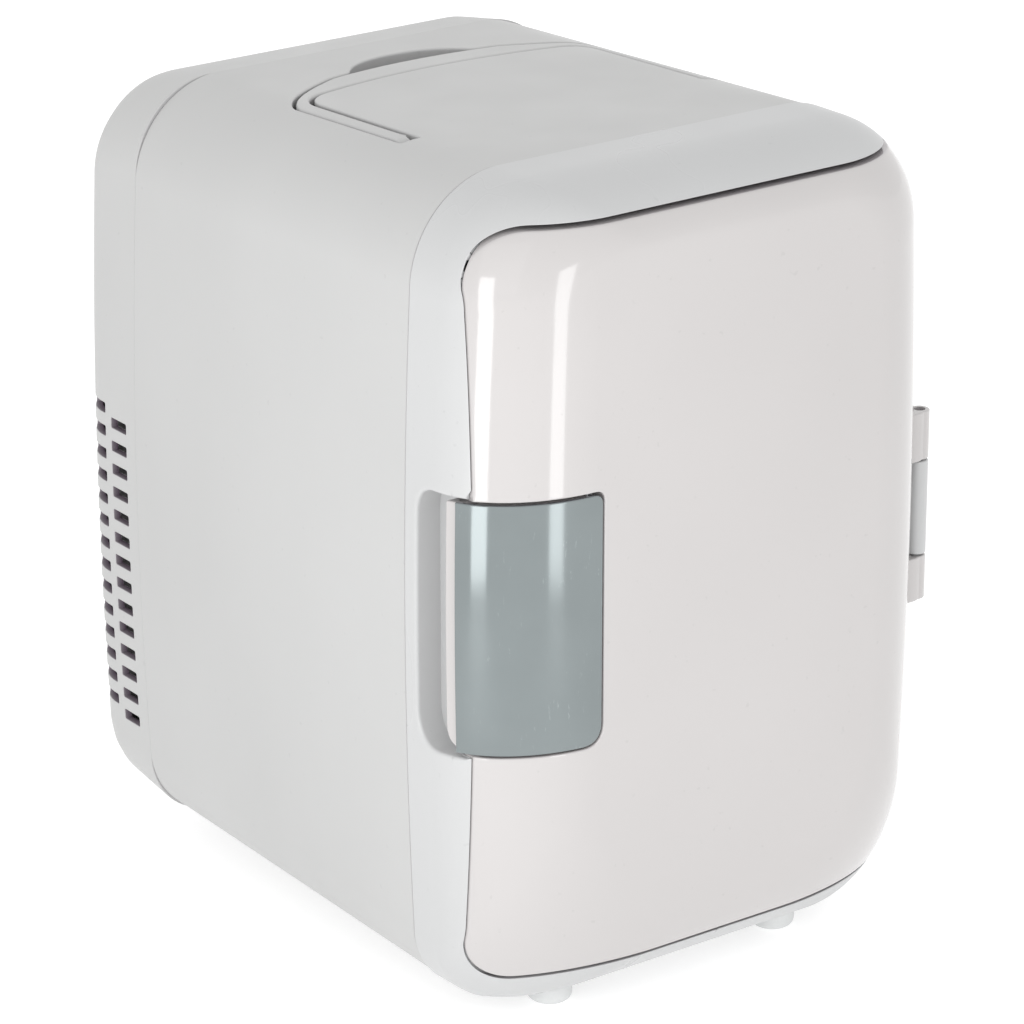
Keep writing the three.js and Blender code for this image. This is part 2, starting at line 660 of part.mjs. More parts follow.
// Cold side, thermoelectric module, and finned hot side, in a stack along Y
function makeHeatPump() {
  const half = MODULE_SIZE / 2;
  const spreader = block([-34, 34], [CHAMBER_BACK_Y - 3.3, CHAMBER_BACK_Y - GAP], [FAN_Z - 42, FAN_Z + 42])
    .add(block([-half, half], [CHAMBER_BACK_Y - 3.3, BLOCK_BACK_Y], [FAN_Z - half, FAN_Z + half]));
  addPart(cabinet, 'cold_plate', spreader, ALUMINIUM);
  const moduleY = [BLOCK_BACK_Y + GAP, BLOCK_BACK_Y + GAP + MODULE_THICK];
  addPart(cabinet, 'peltier_module', block([-half, half], moduleY, [FAN_Z - half, FAN_Z + half]), CERAMIC);
  const baseY = moduleY[1] + GAP;
  const sinkZ = [FAN_Z - SINK_HALF, FAN_Z + SINK_HALF];
  let sink = block([-SINK_HALF, SINK_HALF], [baseY, baseY + SINK_BASE], sinkZ);
  for (let i = 0; i < SINK_FINS; i++) {
    const x = (i / (SINK_FINS - 1) - 0.5) * (2 * SINK_HALF - 1.6);
    sink = sink.add(block([x - 0.8, x + 0.8], [baseY + SINK_BASE - 1, SINK_BACK_Y], sinkZ));
  }
  addPart(cabinet, 'hot_heatsink', sink, ALUMINIUM);
}

function fanHoles(radius) {
  const pitch = FAN_SCREW_PITCH / 2;
  return [[-pitch, -pitch], [pitch, -pitch], [-pitch, pitch], [pitch, pitch]].map(([x, z]) =>
    bar('y', radius, FAN_FRONT_Y - 10, FAN_FRONT_Y + FAN_DEPTH + 10, [x, 0, FAN_Z + z], 12));
}

function makeFan() {
  const back = FAN_FRONT_Y + FAN_DEPTH;
  let frame = block([-FAN_HALF, FAN_HALF], [FAN_FRONT_Y, back], [FAN_Z - FAN_HALF, FAN_Z + FAN_HALF])
    .subtract(bar('y', FAN_BORE, FAN_FRONT_Y - 1, back + 1, [0, 0, FAN_Z], 36))
    .add(bar('y', 15, back - 2, back, [0, 0, FAN_Z], 24))
    .add(block([-FAN_BORE - 1, FAN_BORE + 1], [back - 2, back], [FAN_Z - 1.5, FAN_Z + 1.5]))
    .add(block([-1.5, 1.5], [back - 2, back], [FAN_Z - FAN_BORE - 1, FAN_Z + FAN_BORE + 1]));
  for (const hole of fanHoles(2.1)) frame = frame.subtract(hole);
  addPart(cabinet, 'fan_frame', frame, BLACK);

  let rotor = bar('y', 15, FAN_FRONT_Y + 1, back - 3, [0, 0, 0], 24);
  for (let i = 0; i < FAN_BLADES; i++) {
    const blade = new THREE.BoxGeometry(1.4, 8.5, FAN_BORE - 1.5 - 13);
    blade.rotateZ(0.7);
    blade.translate(0, (FAN_FRONT_Y + back - 2) / 2, 13 + (FAN_BORE - 1.5 - 13) / 2);
    blade.rotateY(i / FAN_BLADES * 2 * Math.PI);
    rotor = rotor.add(solid(blade));
  }
  const mesh = addPart(fan, 'fan_rotor', rotor, BLACK);
  mesh.position.z = FAN_Z;

  const pitch = FAN_SCREW_PITCH / 2;
  let number = 1;
  for (const x of [-pitch, pitch]) {
    for (const z of [-pitch, pitch]) {
      const screw = bar('y', 1.7, FAN_FRONT_Y - 1.6, back + 1, [x, 0, FAN_Z + z], 12)
        .add(bar('y', 3, back + GAP, back + 2, [x, 0, FAN_Z + z], 12));
      addPart(cabinet, `fan_screw_${number}`, screw, STEEL);
      number += 1;
    }
  }
}

// Rear cover: vents in two staggered columns round each rear edge, a fan grille and the sockets
function makeRearCover() {
  let cover = coverForm(0, SHELL_BACK_Y + GAP).subtract(coverForm(WALL, SHELL_BACK_Y - 5));
  for (const [x, z] of COVER_SCREWS) {
    cover = cover.add(bar('y', 5, COVER_BACK_Y - 14, COVER_BACK_Y - 1, [x, 0, z], 16));
  }
  for (const side of [-1, 1]) {
    for (let row = 0; row < VENT_ROWS; row++) {
      const z = VENT_TOP_Z - row * VENT_PITCH;
      const x = [side * VENT_INNER_X, side * 92].sort((a, b) => a - b);
      cover = cover.subtract(block(x, VENT_NEAR_Y, [z - VENT_HEIGHT / 2, z + VENT_HEIGHT / 2]));
      const upper = z + VENT_PITCH / 2;
      cover = cover.subtract(block(x, VENT_FAR_Y, [upper - VENT_HEIGHT / 2, upper + VENT_HEIGHT / 2]));
    }
  }
  for (let row = -5; row <= 5; row++) {
    const half = Math.sqrt(FAN_BORE ** 2 - (row * 7) ** 2);
    for (const side of [-1, 1]) {
      const x = [side * 2, side * half].sort((a, b) => a - b);
      cover = cover.subtract(block(x, [170, 185], [FAN_Z + row * 7 - 1.75, FAN_Z + row * 7 + 1.75]));
    }
  }
  for (const [x, z] of COVER_SCREWS) {
    cover = cover.subtract(bar('y', 1.9, COVER_BACK_Y - 20, COVER_BACK_Y + 2, [x, 0, z], 12))
      .subtract(bar('y', 3.4, COVER_BACK_Y - 3, COVER_BACK_Y + 2, [x, 0, z], 16));
  }
  cover = cover
    .subtract(block([-SOCKET_X - 12.3, -SOCKET_X + 12.3], [160, 190], [SOCKET_Z - 8.3, SOCKET_Z + 8.3]))
    .subtract(block([-11.3, 11.3], [160, 190], [SOCKET_Z - 7.3, SOCKET_Z + 7.3]))
    .subtract(bar('y', 6.3, 160, 190, [SOCKET_X, 0, SOCKET_Z], 20))
    .subtract(bar('y', 1.8, 160, 190, [-20, 0, SOCKET_Z + 14], 12))
    .subtract(bar('y', 1.8, 160, 190, [20, 0, SOCKET_Z + 14], 12));
  addPart(cabinet, 'rear_cover', cover, WHITE_SHELL);
}

function makeCoverScrews() {
  COVER_SCREWS.forEach(([x, z], index) => {
    const screw = bar('y', 1.6, COVER_BACK_Y - 18, COVER_BACK_Y - 2, [x, 0, z], 12)
      .add(bar('y', 3, COVER_BACK_Y - 2.7, COVER_BACK_Y - 0.8, [x, 0, z], 16))
      .subtract(block([x - 2.2, x + 2.2], [COVER_BACK_Y - 1.6, COVER_BACK_Y], [z - 0.4, z + 0.4]))
      .subtract(block([x - 0.4, x + 0.4], [COVER_BACK_Y - 1.6, COVER_BACK_Y], [z - 2.2, z + 2.2]));
    addPart(cabinet, `cover_screw_${index + 1}`, screw, STEEL);
  });
}

// Mains inlet, low-voltage inlet, mode switch and its two lamps, all in the rear cover
function makeSockets() {
  const front = COVER_BACK_Y - 16;
  const face = COVER_BACK_Y - 0.6;
  const mains = block([-SOCKET_X - 12, -SOCKET_X + 12], [front, face], [SOCKET_Z - 8, SOCKET_Z + 8])
    .subtract(block([-SOCKET_X - 9, -SOCKET_X + 9], [COVER_BACK_Y - 11, 190], [SOCKET_Z - 5, SOCKET_Z + 5]));
  addPart(cabinet, 'mains_inlet', mains, BLACK);
  for (const [name, offset] of [['mains_contact_left', -4.4], ['mains_contact_right', 4.4]]) {
    const x = -SOCKET_X + offset;
    const contact = bar('y', 1.2, COVER_BACK_Y - 11 + GAP, COVER_BACK_Y - 3, [x, 0, SOCKET_Z], 10);
    addPart(cabinet, name, contact, STEEL);
  }
  const low = bar('y', 6, front, face, [SOCKET_X, 0, SOCKET_Z], 20)
    .subtract(bar('y', 4.2, COVER_BACK_Y - 11, 190, [SOCKET_X, 0, SOCKET_Z], 16));
  addPart(cabinet, 'low_voltage_inlet', low, BLACK);
  addPart(cabinet, 'low_voltage_contact',
    bar('y', 1, COVER_BACK_Y - 11 + GAP, COVER_BACK_Y - 3, [SOCKET_X, 0, SOCKET_Z], 10), STEEL);
  const housing = block([-11, 11], [front, face], [SOCKET_Z - 7, SOCKET_Z + 7])
    .subtract(block([-9.4, 9.4], [COVER_BACK_Y - 10, 190], [SOCKET_Z - 5.4, SOCKET_Z + 5.4]));
  addPart(cabinet, 'switch_housing', housing, BLACK);
  for (const [name, x, look] of [['lamp_heating', -20, RED_LENS], ['lamp_cooling', 20, GREEN_LENS]]) {
    const lamp = bar('y', 1.5, COVER_BACK_Y - 9, COVER_BACK_Y - 0.4, [x, 0, SOCKET_Z + 14], 12);
    addPart(cabinet, name, lamp, look);
  }
}

// Three-position rocker: its face is two shallow slopes that meet at the pivot line
function makeRocker() {
  const shape = new THREE.Shape();
  shape.moveTo(-8.6, -1.4);
  shape.lineTo(-5, -3.6);
  shape.lineTo(5, -3.6);
  shape.lineTo(8.6, -1.4);
  shape.lineTo(8.8, 1.6);
  shape.lineTo(0, 0);
  shape.lineTo(-8.8, 1.6);
  shape.closePath();
  const rocker = topPrism(shape, -4.9, 4.9);
  const mesh = addPart(modeSwitch, 'mode_rocker', rocker, BLACK);
  mesh.position.set(0, COVER_BACK_Y - 3.4, SOCKET_Z);
}

function makePowerBoard() {
  const [low, high] = BOARD_Z;
  addPart(cabinet, 'power_board', block([-58, 58], [BOARD_Y, BOARD_Y + 1.6], [low + 6, high]), BOARD_GREEN);
  const face = BOARD_Y + 1.6 + GAP;
  addPart(cabinet, 'transformer', block([-14, 14], [face, face + 7], [-82, -60]), COPPER_COIL);
  addPart(cabinet, 'input_capacitor', bar('x', 3.4, 24, 46, [0, face + 3.7, -70], 16), BLACK);
  addPart(cabinet, 'output_capacitor', bar('x', 3, -46, -28, [0, face + 3.3, -70], 16), BLACK);
}

// Door: outer panel with its knuckles, foam, inner tray, gasket and a rail for small items
function makeDoor() {
  const inside = frontForm(WALL, 2).intersect(doorPrism(-60, 0, -WALL));
  const box = (grow) => block([-95, LATCH_RIGHT_X + LATCH_GAP + 2.5 + grow], [-60, 0],
    [-LATCH_BOTTOM - 3.5 - grow, LATCH_TOP + 3.5 + grow]);
  const backing = frontForm(0).subtract(frontForm(POCKET_DEPTH + 2)).intersect(box(0));
  const pocket = frontForm(-3).subtract(frontForm(POCKET_DEPTH)).intersect(latchPrism(LATCH_GAP, -95));
  let panel = frontForm(0)
    .subtract(inside)
    .add(backing)
    .intersect(doorPrism(-60, DOOR_BACK_Y, 0))
    .subtract(pocket);
  const [top, upper, lower, bottom] = KNUCKLE_ENDS;
  for (const [low, high] of [[upper + GAP, top], [bottom, lower - GAP]]) {
    panel = panel
      .add(bar('z', KNUCKLE_RADIUS, low, high, [HINGE_X, HINGE_Y, 0]))
      .add(block([HALF_WIDTH - 4, HINGE_X], [DOOR_BACK_Y - 3, DOOR_BACK_Y], [low, high]));
  }
  panel = panel.subtract(bar('z', HINGE_PIN_RADIUS + GAP, -60, top - 2, [HINGE_X, HINGE_Y, 0], 12))
    .subtract(bar('z', 1.1, -LATCH_BOTTOM - 3, LATCH_TOP + 3, [LATCH_PIN_X, LATCH_PIN_Y, 0], 10));
  addPart(door, 'door_panel', panel, WHITE_DOOR);

  const aroundPocket = box(GAP).subtract(frontForm(POCKET_DEPTH + 2 + GAP, 2));
  const foam = frontForm(WALL + GAP, 2)
    .intersect(doorPrism(-60, LINER_PLATE_Y - LINER_PLATE - GAP, -WALL - GAP))
    .subtract(aroundPocket);
  addPart(door, 'door_foam', foam, FOAM);

  const plate = frontForm(WALL + GAP, 2)
    .intersect(doorPrism(LINER_PLATE_Y - LINER_PLATE, LINER_PLATE_Y, -WALL - GAP));
  const tray = roundedBox(TRAY_HALF_WIDTH, TRAY_HALF_HEIGHT, 10, LINER_PLATE_Y - 1, TRAY_BACK_Y)
    .subtract(roundedBox(TRAY_HALF_WIDTH - 2.2, TRAY_HALF_HEIGHT - 2.2, 8, LINER_PLATE_Y, TRAY_BACK_Y + 5));
  addPart(door, 'door_liner', plate.subtract(aroundPocket).add(tray), GREY_LINER);

  const gasket = roundedBox(74, 106, 18, LINER_PLATE_Y + GAP, FRAME_FACE_Y - GAP)
    .subtract(roundedBox(70, 102, 14, -60, 0));
  addPart(door, 'door_gasket', gasket, RUBBER);

  const railEnd = TRAY_HALF_WIDTH - 2.2 - GAP;
  const rail = block([-railEnd, railEnd], [TRAY_BACK_Y - 2.4, TRAY_BACK_Y], [-52, -40]);
  addPart(door, 'door_rail', rail, GREY_LINER);
}

// Latch: a white lever with a silver plate over it, turning about a pin inside the door. The lever's
// rear edge, which is pulled, has a rounded lower corner.
function makeLatch() {
  const latchBody = (outerInset, innerInset, backY, shrink, lowerCorner) => {
    const bottom = -LATCH_BOTTOM - 1 + shrink;
    const side = new THREE.Shape();
    side.moveTo(-70, bottom);
    side.lineTo(backY - lowerCorner, bottom);
    side.quadraticCurveTo(backY, bottom, backY, bottom + lowerCorner + 1);
    side.lineTo(backY, 60);
    side.lineTo(-70, 60);
    side.closePath();
    return frontForm(outerInset)
      .subtract(frontForm(innerInset, 5))
      .intersect(latchPrism(-shrink, -95))
      .intersect(sidePrism(side, -95, -30));
  };
  const pinHole = bar('z', 1.3, -60, 60, [LATCH_PIN_X, LATCH_PIN_Y, 0], 10);
  const lever = latchBody(PLATE_THICK - PLATE_PROUD + GAP, LEVER_DEPTH, LEVER_BACK_Y, 0.4, 7);
  addPart(latch, 'latch_lever', lever.subtract(pinHole), WHITE_DOOR);
  const plate = latchBody(-PLATE_PROUD, PLATE_THICK - PLATE_PROUD, PLATE_BACK_Y, 0, 2);
  addPart(latch, 'latch_plate', plate, SILVER);
  const pin = bar('z', 1, -LATCH_BOTTOM - 2.6, LATCH_TOP + 2.6, [LATCH_PIN_X, LATCH_PIN_Y, 0], 10);
  addPart(door, 'latch_pin', pin, STEEL);
}

function makeHingePin() {
  const [top, , , bottom] = KNUCKLE_ENDS;
  const pin = bar('z', HINGE_PIN_RADIUS, bottom + 0.5, top - 2 - GAP, [HINGE_X, HINGE_Y, 0], 12);
  addPart(cabinet, 'hinge_pin', pin, STEEL);
}

makeFrontFrame();
makeFeet();
makeOuterShell();
makeCarryHandle();
makeInnerLiner();
makeFoam();
makeShelf();
makeHeatPump();
makeFan();
makeRearCover();
makeCoverScrews();
makeSockets();
makeRocker();
makePowerBoard();
makeDoor();
makeLatch();
makeHingePin();

const fridge = new THREE.Group();
fridge.name = 'mini_fridge';
fridge.add(cabinet, door, latch, handle, fan, modeSwitch);
const right = HINGE_X + KNUCKLE_RADIUS;
const front = ROLL_START_Y - ROLL_DEPTH - FACE_CROWN;
fridge.position.set(-(right - HALF_WIDTH) / 2, -(COVER_BACK_Y + front) / 2, BASE_DEPTH + FOOT_HEIGHT);

export default fridge;
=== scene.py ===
# Mini fridge, looks. Shapes that the camera sees are built again here at a finer step than the CAD nodes
# that they replace, from the same dimensions, in millimetres about the middle of the front seam.
import math

import bpy
import numpy as np
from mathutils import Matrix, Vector
from mathutils.geometry import delaunay_2d_cdt


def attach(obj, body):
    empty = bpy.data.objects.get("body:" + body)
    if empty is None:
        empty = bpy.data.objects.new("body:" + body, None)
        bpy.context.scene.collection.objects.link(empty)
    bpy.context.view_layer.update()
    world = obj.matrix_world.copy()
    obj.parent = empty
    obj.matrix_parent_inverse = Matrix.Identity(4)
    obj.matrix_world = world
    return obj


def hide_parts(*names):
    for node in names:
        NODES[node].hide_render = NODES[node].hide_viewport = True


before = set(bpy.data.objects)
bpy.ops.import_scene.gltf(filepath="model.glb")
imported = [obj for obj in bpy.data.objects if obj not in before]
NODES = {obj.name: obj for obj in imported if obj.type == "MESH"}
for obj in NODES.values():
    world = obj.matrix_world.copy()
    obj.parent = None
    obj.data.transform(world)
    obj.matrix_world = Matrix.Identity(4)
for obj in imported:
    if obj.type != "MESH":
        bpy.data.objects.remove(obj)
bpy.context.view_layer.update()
SHIFT = np.array([-4.0, -68.5, 132.5])
AROUND = 80.0  # millimetres of flat sheet for each of the eight runs of an outline
SPAN = (6.5, 14.5)  # a sheet that goes right round starts and ends in the middle of the underside

BOW = 2.5
ROLL_Y = -13
ROLL_DEPTH = 29
ROLL_RUN = 26
FACE_X = 4.5
SEAM_INSET = 0.3

DOOR_LEFT = -82.6
DOOR_TOP = 119.2
DOOR_BOTTOM = -112.8
DOOR_CORNER = 17.5
DOOR_LOWER_CORNER = 14.0
DOOR_BACK_Y = -21.6
FRAME_FACE_Y = -21.0
HINGE = (92.8, -20.8)
KNUCKLE_RADIUS = 3.2
KNUCKLES = (30.4, 14.3, -16.9, -31.5)
LATCH_TOP = 39.8
LATCH_BOTTOM = -37.8
LATCH_RIGHT = -47.5
LATCH_GAP = 0.8
PLATE_BACK_Y = -22.4
PLATE_PROUD = 0.4
LEVER_BACK_Y = -18.0
RECESS_TOP = 41.0
RECESS_BOTTOM = -39.5
RECESS_BACK_Y = -6.0
RECESS_FLOOR_X = -79.0
RECESS_EASE = 9
RECESS_LOWER_EASE = (10, 12)
SHELL_BACK_Y = 147.6
COVER_FRONT_Y = 147.9
COVER_BACK_Y = 180.0
COVER_EDGE = 13
COVER_FLAT = 19.1
COVER_ROLL = 11.0
COVER_DRAW = 9.0
COVER_SCREWS = ((-54, 96), (54, 96), (-58, -86), (58, -86))
VENT_ROWS = 14
VENT_TOP_Z = 11.8
VENT_PITCH = 7.7
VENT_HALF_HEIGHT = 1.7
VENT_COLUMNS = ((154, 163, 0.0), (166.5, 178, 3.85))
GRILLE_Z = 6
GRILLE_RADIUS = 37.5
GRILLE_PITCH = 7
GRILLE_HALF_SLOT = 1.75
CHANNEL_DEPTH = 11.0
HANDLE_THICK = 7.5
HANDLE_X = 2.5
HANDLE_OUTER = 60
HANDLE_INNER = 55
FINGER_HALF_WIDTH = 23.5
PIVOT = (46.0, 123.0)
END_RADIUS = 4.4
DOOR_SIDE_GAP = 0.35
DOOR_TOP_GAP = 1.4
DOOR_BASE_GAP = 1.0
# Colour of the painted shade on the walls of gaps, seams, slots and holes, where the real gaps fall dark.
PAINTED_GAP_SHADE = (1.0, 0.75, 1.0)


# ---------------------------------------------------------------- outlines
def ring(u, d):
    """Points in X and Z round an outline d. u runs from 0 to 8, anticlockwise from the right side's foot."""
    u = np.mod(np.asarray(u, float), 8.0)
    k = np.floor(u).astype(int)
    f = u - k
    left, right = -d["left"] + d["bow"], d["right"] - d["bow"]
    top, bottom, r, rl = d["top"], -d["bottom"], d["radius"], d["lower"]
    low, high = bottom + rl, top - r
    bulge = d["bow"] * (1 - (2 * f - 1) ** 2)
    a = np.select([k == 1, k == 3, k == 5, k == 7],
                  [f, 1 + f, 2 + f, 3 + f], 0.0) * math.pi / 2
    x = np.select(
        [k == 0, k == 1, k == 2, k == 3, k == 4, k == 5, k == 6],
        [right + bulge, right - r + r * np.cos(a), right - r + f * (left + r - right + r),
         left + r + r * np.cos(a), left - bulge, left + rl + rl * np.cos(a),
         left + rl + f * (right - rl - left - rl)],
        right - rl + rl * np.cos(a))
    z = np.select(
        [k == 0, k == 1, k == 2, k == 3, k == 4, k == 5, k == 6],
        [low + f * (high - low), high + r * np.sin(a), top + 0 * f, high + r * np.sin(a),
         high + f * (low - high), low + rl * np.sin(a), bottom + 0 * f],
        low + rl * np.sin(a))
    return x, z


def outside(x, z, d):
    """How far a point lies outside an outline d, negative inside it."""
    half = np.where(x >= 0, d["right"], d["left"]) - d["bow"]
    height = np.where(z >= 0, d["top"], d["bottom"])
    r = np.where(z >= 0, d["radius"], d["lower"])
    low, high = -d["bottom"] + d["lower"], d["top"] - d["radius"]
    q = np.clip((z - (low + high) / 2) / ((high - low) / 2), -1, 1)
    cx, cz = half - r, height - r
    ax, az = np.abs(x), np.abs(z)
    corner = np.hypot(ax - cx, az - cz) - r
    flat = np.maximum(ax - half - d["bow"] * (1 - q * q), az - height)
    return np.where((ax > cx) & (az > cz), corner, flat)


def side_u(z, d, side):
    """The u, within SPAN, of a height z on the right (side 1) or left (side -1) of an outline d."""
    low, high = -d["bottom"] + d["lower"], d["top"] - d["radius"]
    up = np.arcsin(np.clip((z - high) / d["radius"], 0, 1)) / (math.pi / 2)
    down = np.arcsin(np.clip((low - z) / d["lower"], 0, 1)) / (math.pi / 2)
    along = np.clip((z - low) / (high - low), 0, 1)
    if side > 0:
        return 8 + along + up - down
    return 13 - along - up + down


def front_section(theta, inset=0.0):
    """Outline of the rolled front form at an angle of its roll: 0 at the seam, a right angle at the face."""
    c, s = np.cos(theta), np.sin(theta)
    return {"left": 48 + (40 - inset) * c, "right": 57 + (31 - inset) * c,
            "top": 109.5 + (20 - inset) * c, "bottom": 99 + (27 - inset) * c,
            "radius": 20 + (12.5 - inset) * c, "lower": 24 - inset * c + 23 * s, "bow": BOW * c}


def shell_section(y, inset=0.0):
    """Outline of the shell, which tapers to the rear."""
    along = y / SHELL_BACK_Y
    wide = 87.5 - 2.7 * along - inset
    return {"left": wide, "right": wide,
            "top": 129 - 4.7 * along - inset, "bottom": 125.5 - 3.5 * along - inset,
            "radius": 32.0 - inset + 0 * along, "lower": 23.5 + 3.5 * along - inset, "bow": BOW + 0 * along}


def cover_profile(t):
    """Depth and draw-in of the rear cover at t millimetres along its profile from the shell."""
    a = math.pi / 2 - np.clip((t - COVER_FLAT) / COVER_ROLL, 0, math.pi / 2)
    y = np.where(t < COVER_FLAT, COVER_FRONT_Y + t, COVER_BACK_Y - COVER_EDGE * (1 - np.cos(a)))
    draw = np.where(t < COVER_FLAT, -0.6 + 0.6 * t / COVER_FLAT, COVER_DRAW * (1 - np.sin(a)))
    return y, draw


def cover_section(y, draw):
    """Outline of the rear cover at a depth, drawn in by its rounded edge."""
    wide = 83.8 - draw
    lower = 1.2 * draw + 4 * (y - SHELL_BACK_Y) / (COVER_BACK_Y - SHELL_BACK_Y)
    return {"left": wide, "right": wide, "top": 123.3 - lower, "bottom": 121 - lower,
            "radius": 28.5 - 0.3 * draw, "lower": 23.5 - 0.3 * draw, "bow": BOW * (1 - draw / 20)}


def opening_section():
    """Outline of the door's opening in the frame. It runs out past the right side."""
    return {"left": DOOR_SIDE_GAP - DOOR_LEFT, "right": 140.0,
            "top": DOOR_TOP + DOOR_TOP_GAP, "bottom": DOOR_BASE_GAP - DOOR_BOTTOM,
            "radius": DOOR_CORNER + (DOOR_SIDE_GAP + DOOR_TOP_GAP) / 2,
            "lower": DOOR_LOWER_CORNER + (DOOR_SIDE_GAP + DOOR_BASE_GAP) / 2, "bow": 0.0}


# ---------------------------------------------------------------- surfaces
def front_y(x, z, inset=0.0):
    """Depth of the rolled front form at x and z."""
    x, z = np.asarray(x, float), np.asarray(z, float)
    low, high = np.zeros_like(x), np.full_like(x, math.pi / 2)
    for _ in range(34):
        middle = (low + high) / 2
        out = outside(x, z, front_section(middle, inset)) > 0
        high, low = np.where(out, middle, high), np.where(out, low, middle)
    y = ROLL_Y - (ROLL_DEPTH - inset) * np.sin((low + high) / 2)
    face = front_section(math.pi / 2, inset)
    low, high = np.full_like(x, 1e-3), np.ones_like(x)
    for _ in range(30):
        middle = (low + high) / 2
        out = outside((x - FACE_X) / middle + FACE_X, z / middle, face) > 0
        low, high = np.where(out, middle, low), np.where(out, high, middle)
    inner = outside(x, z, face) < 0
    return y - np.where(inner, (1 - high ** 2) ** 2, 0)


def face_surface(inset):
    def surface(p):
        return np.stack([p[:, 0], front_y(p[:, 0], p[:, 1], inset), p[:, 1]], 1)
    return surface


def roll_of(v):
    """Angle and depth of the frame's profile at v millimetres from the seam."""
    theta = np.maximum(v + ROLL_Y, 0) / ROLL_RUN
    return theta, np.where(v < -ROLL_Y, -v, ROLL_Y - ROLL_DEPTH * np.sin(theta))


def v_of(y):
    """The inverse of roll_of."""
    return np.where(y > ROLL_Y, -y, ROLL_RUN * np.arcsin(np.clip((ROLL_Y - y) / ROLL_DEPTH, 0, 1)) - ROLL_Y)


def frame_surface(p):
    theta, y = roll_of(p[:, 1])
    x, z = ring(p[:, 0] / AROUND, front_section(theta))
    return np.stack([x, y, z], 1)


def shell_surface(p):
    x, z = ring(p[:, 0] / AROUND, shell_section(p[:, 1]))
    return np.stack([x, p[:, 1], z], 1)


def top_z(x, y, inset=0.0):
    d = shell_section(y, inset)
    over = np.maximum(np.abs(x) - (d["right"] - d["bow"] - d["radius"]), 0)
    return d["top"] - d["radius"] + np.sqrt(np.maximum(d["radius"] ** 2 - over ** 2, 0))


def top_surface(inset):
    def surface(p):
        return np.stack([p[:, 0], p[:, 1], top_z(p[:, 0], p[:, 1], inset)], 1)
    return surface


def top_u(x, y):
    """The u of a place on the shell's top."""
    d = shell_section(y)
    cx = d["right"] - d["bow"] - d["radius"]
    bend = np.arcsin(np.clip((np.abs(x) - cx) / d["radius"], 0, 1)) / (math.pi / 2)
    flat = 10.5 - np.clip(x / cx, -1, 1) * 0.5
    return flat - np.sign(x) * bend


def cover_surface(p):
    y, draw = cover_profile(p[:, 1])
    x, z = ring(p[:, 0] / AROUND, cover_section(y, draw))
    return np.stack([x, y, z], 1)


def plane_surface(axis, value):
    def surface(p):
        return np.insert(p, axis, value, axis=1)
    return surface


# ---------------------------------------------------------------- mesh building
def unit(v):
    return v / np.maximum(np.linalg.norm(v, axis=1, keepdims=True), 1e-12)


def inside_all(points, loops):
    """Which points lie inside an odd number of the loops."""
    count = np.zeros(len(points), int)
    for loop in loops:
        a, b = loop, np.roll(loop, -1, 0)
        for (ax, ay), (bx, by) in zip(a, b):
            if ay == by:
                continue
            hit = (points[:, 1] > min(ay, by)) & (points[:, 1] <= max(ay, by))
            cross = ax + (points[:, 1] - ay) * (bx - ax) / (by - ay)
            count += hit & (points[:, 0] < cross)
    return count % 2 == 1


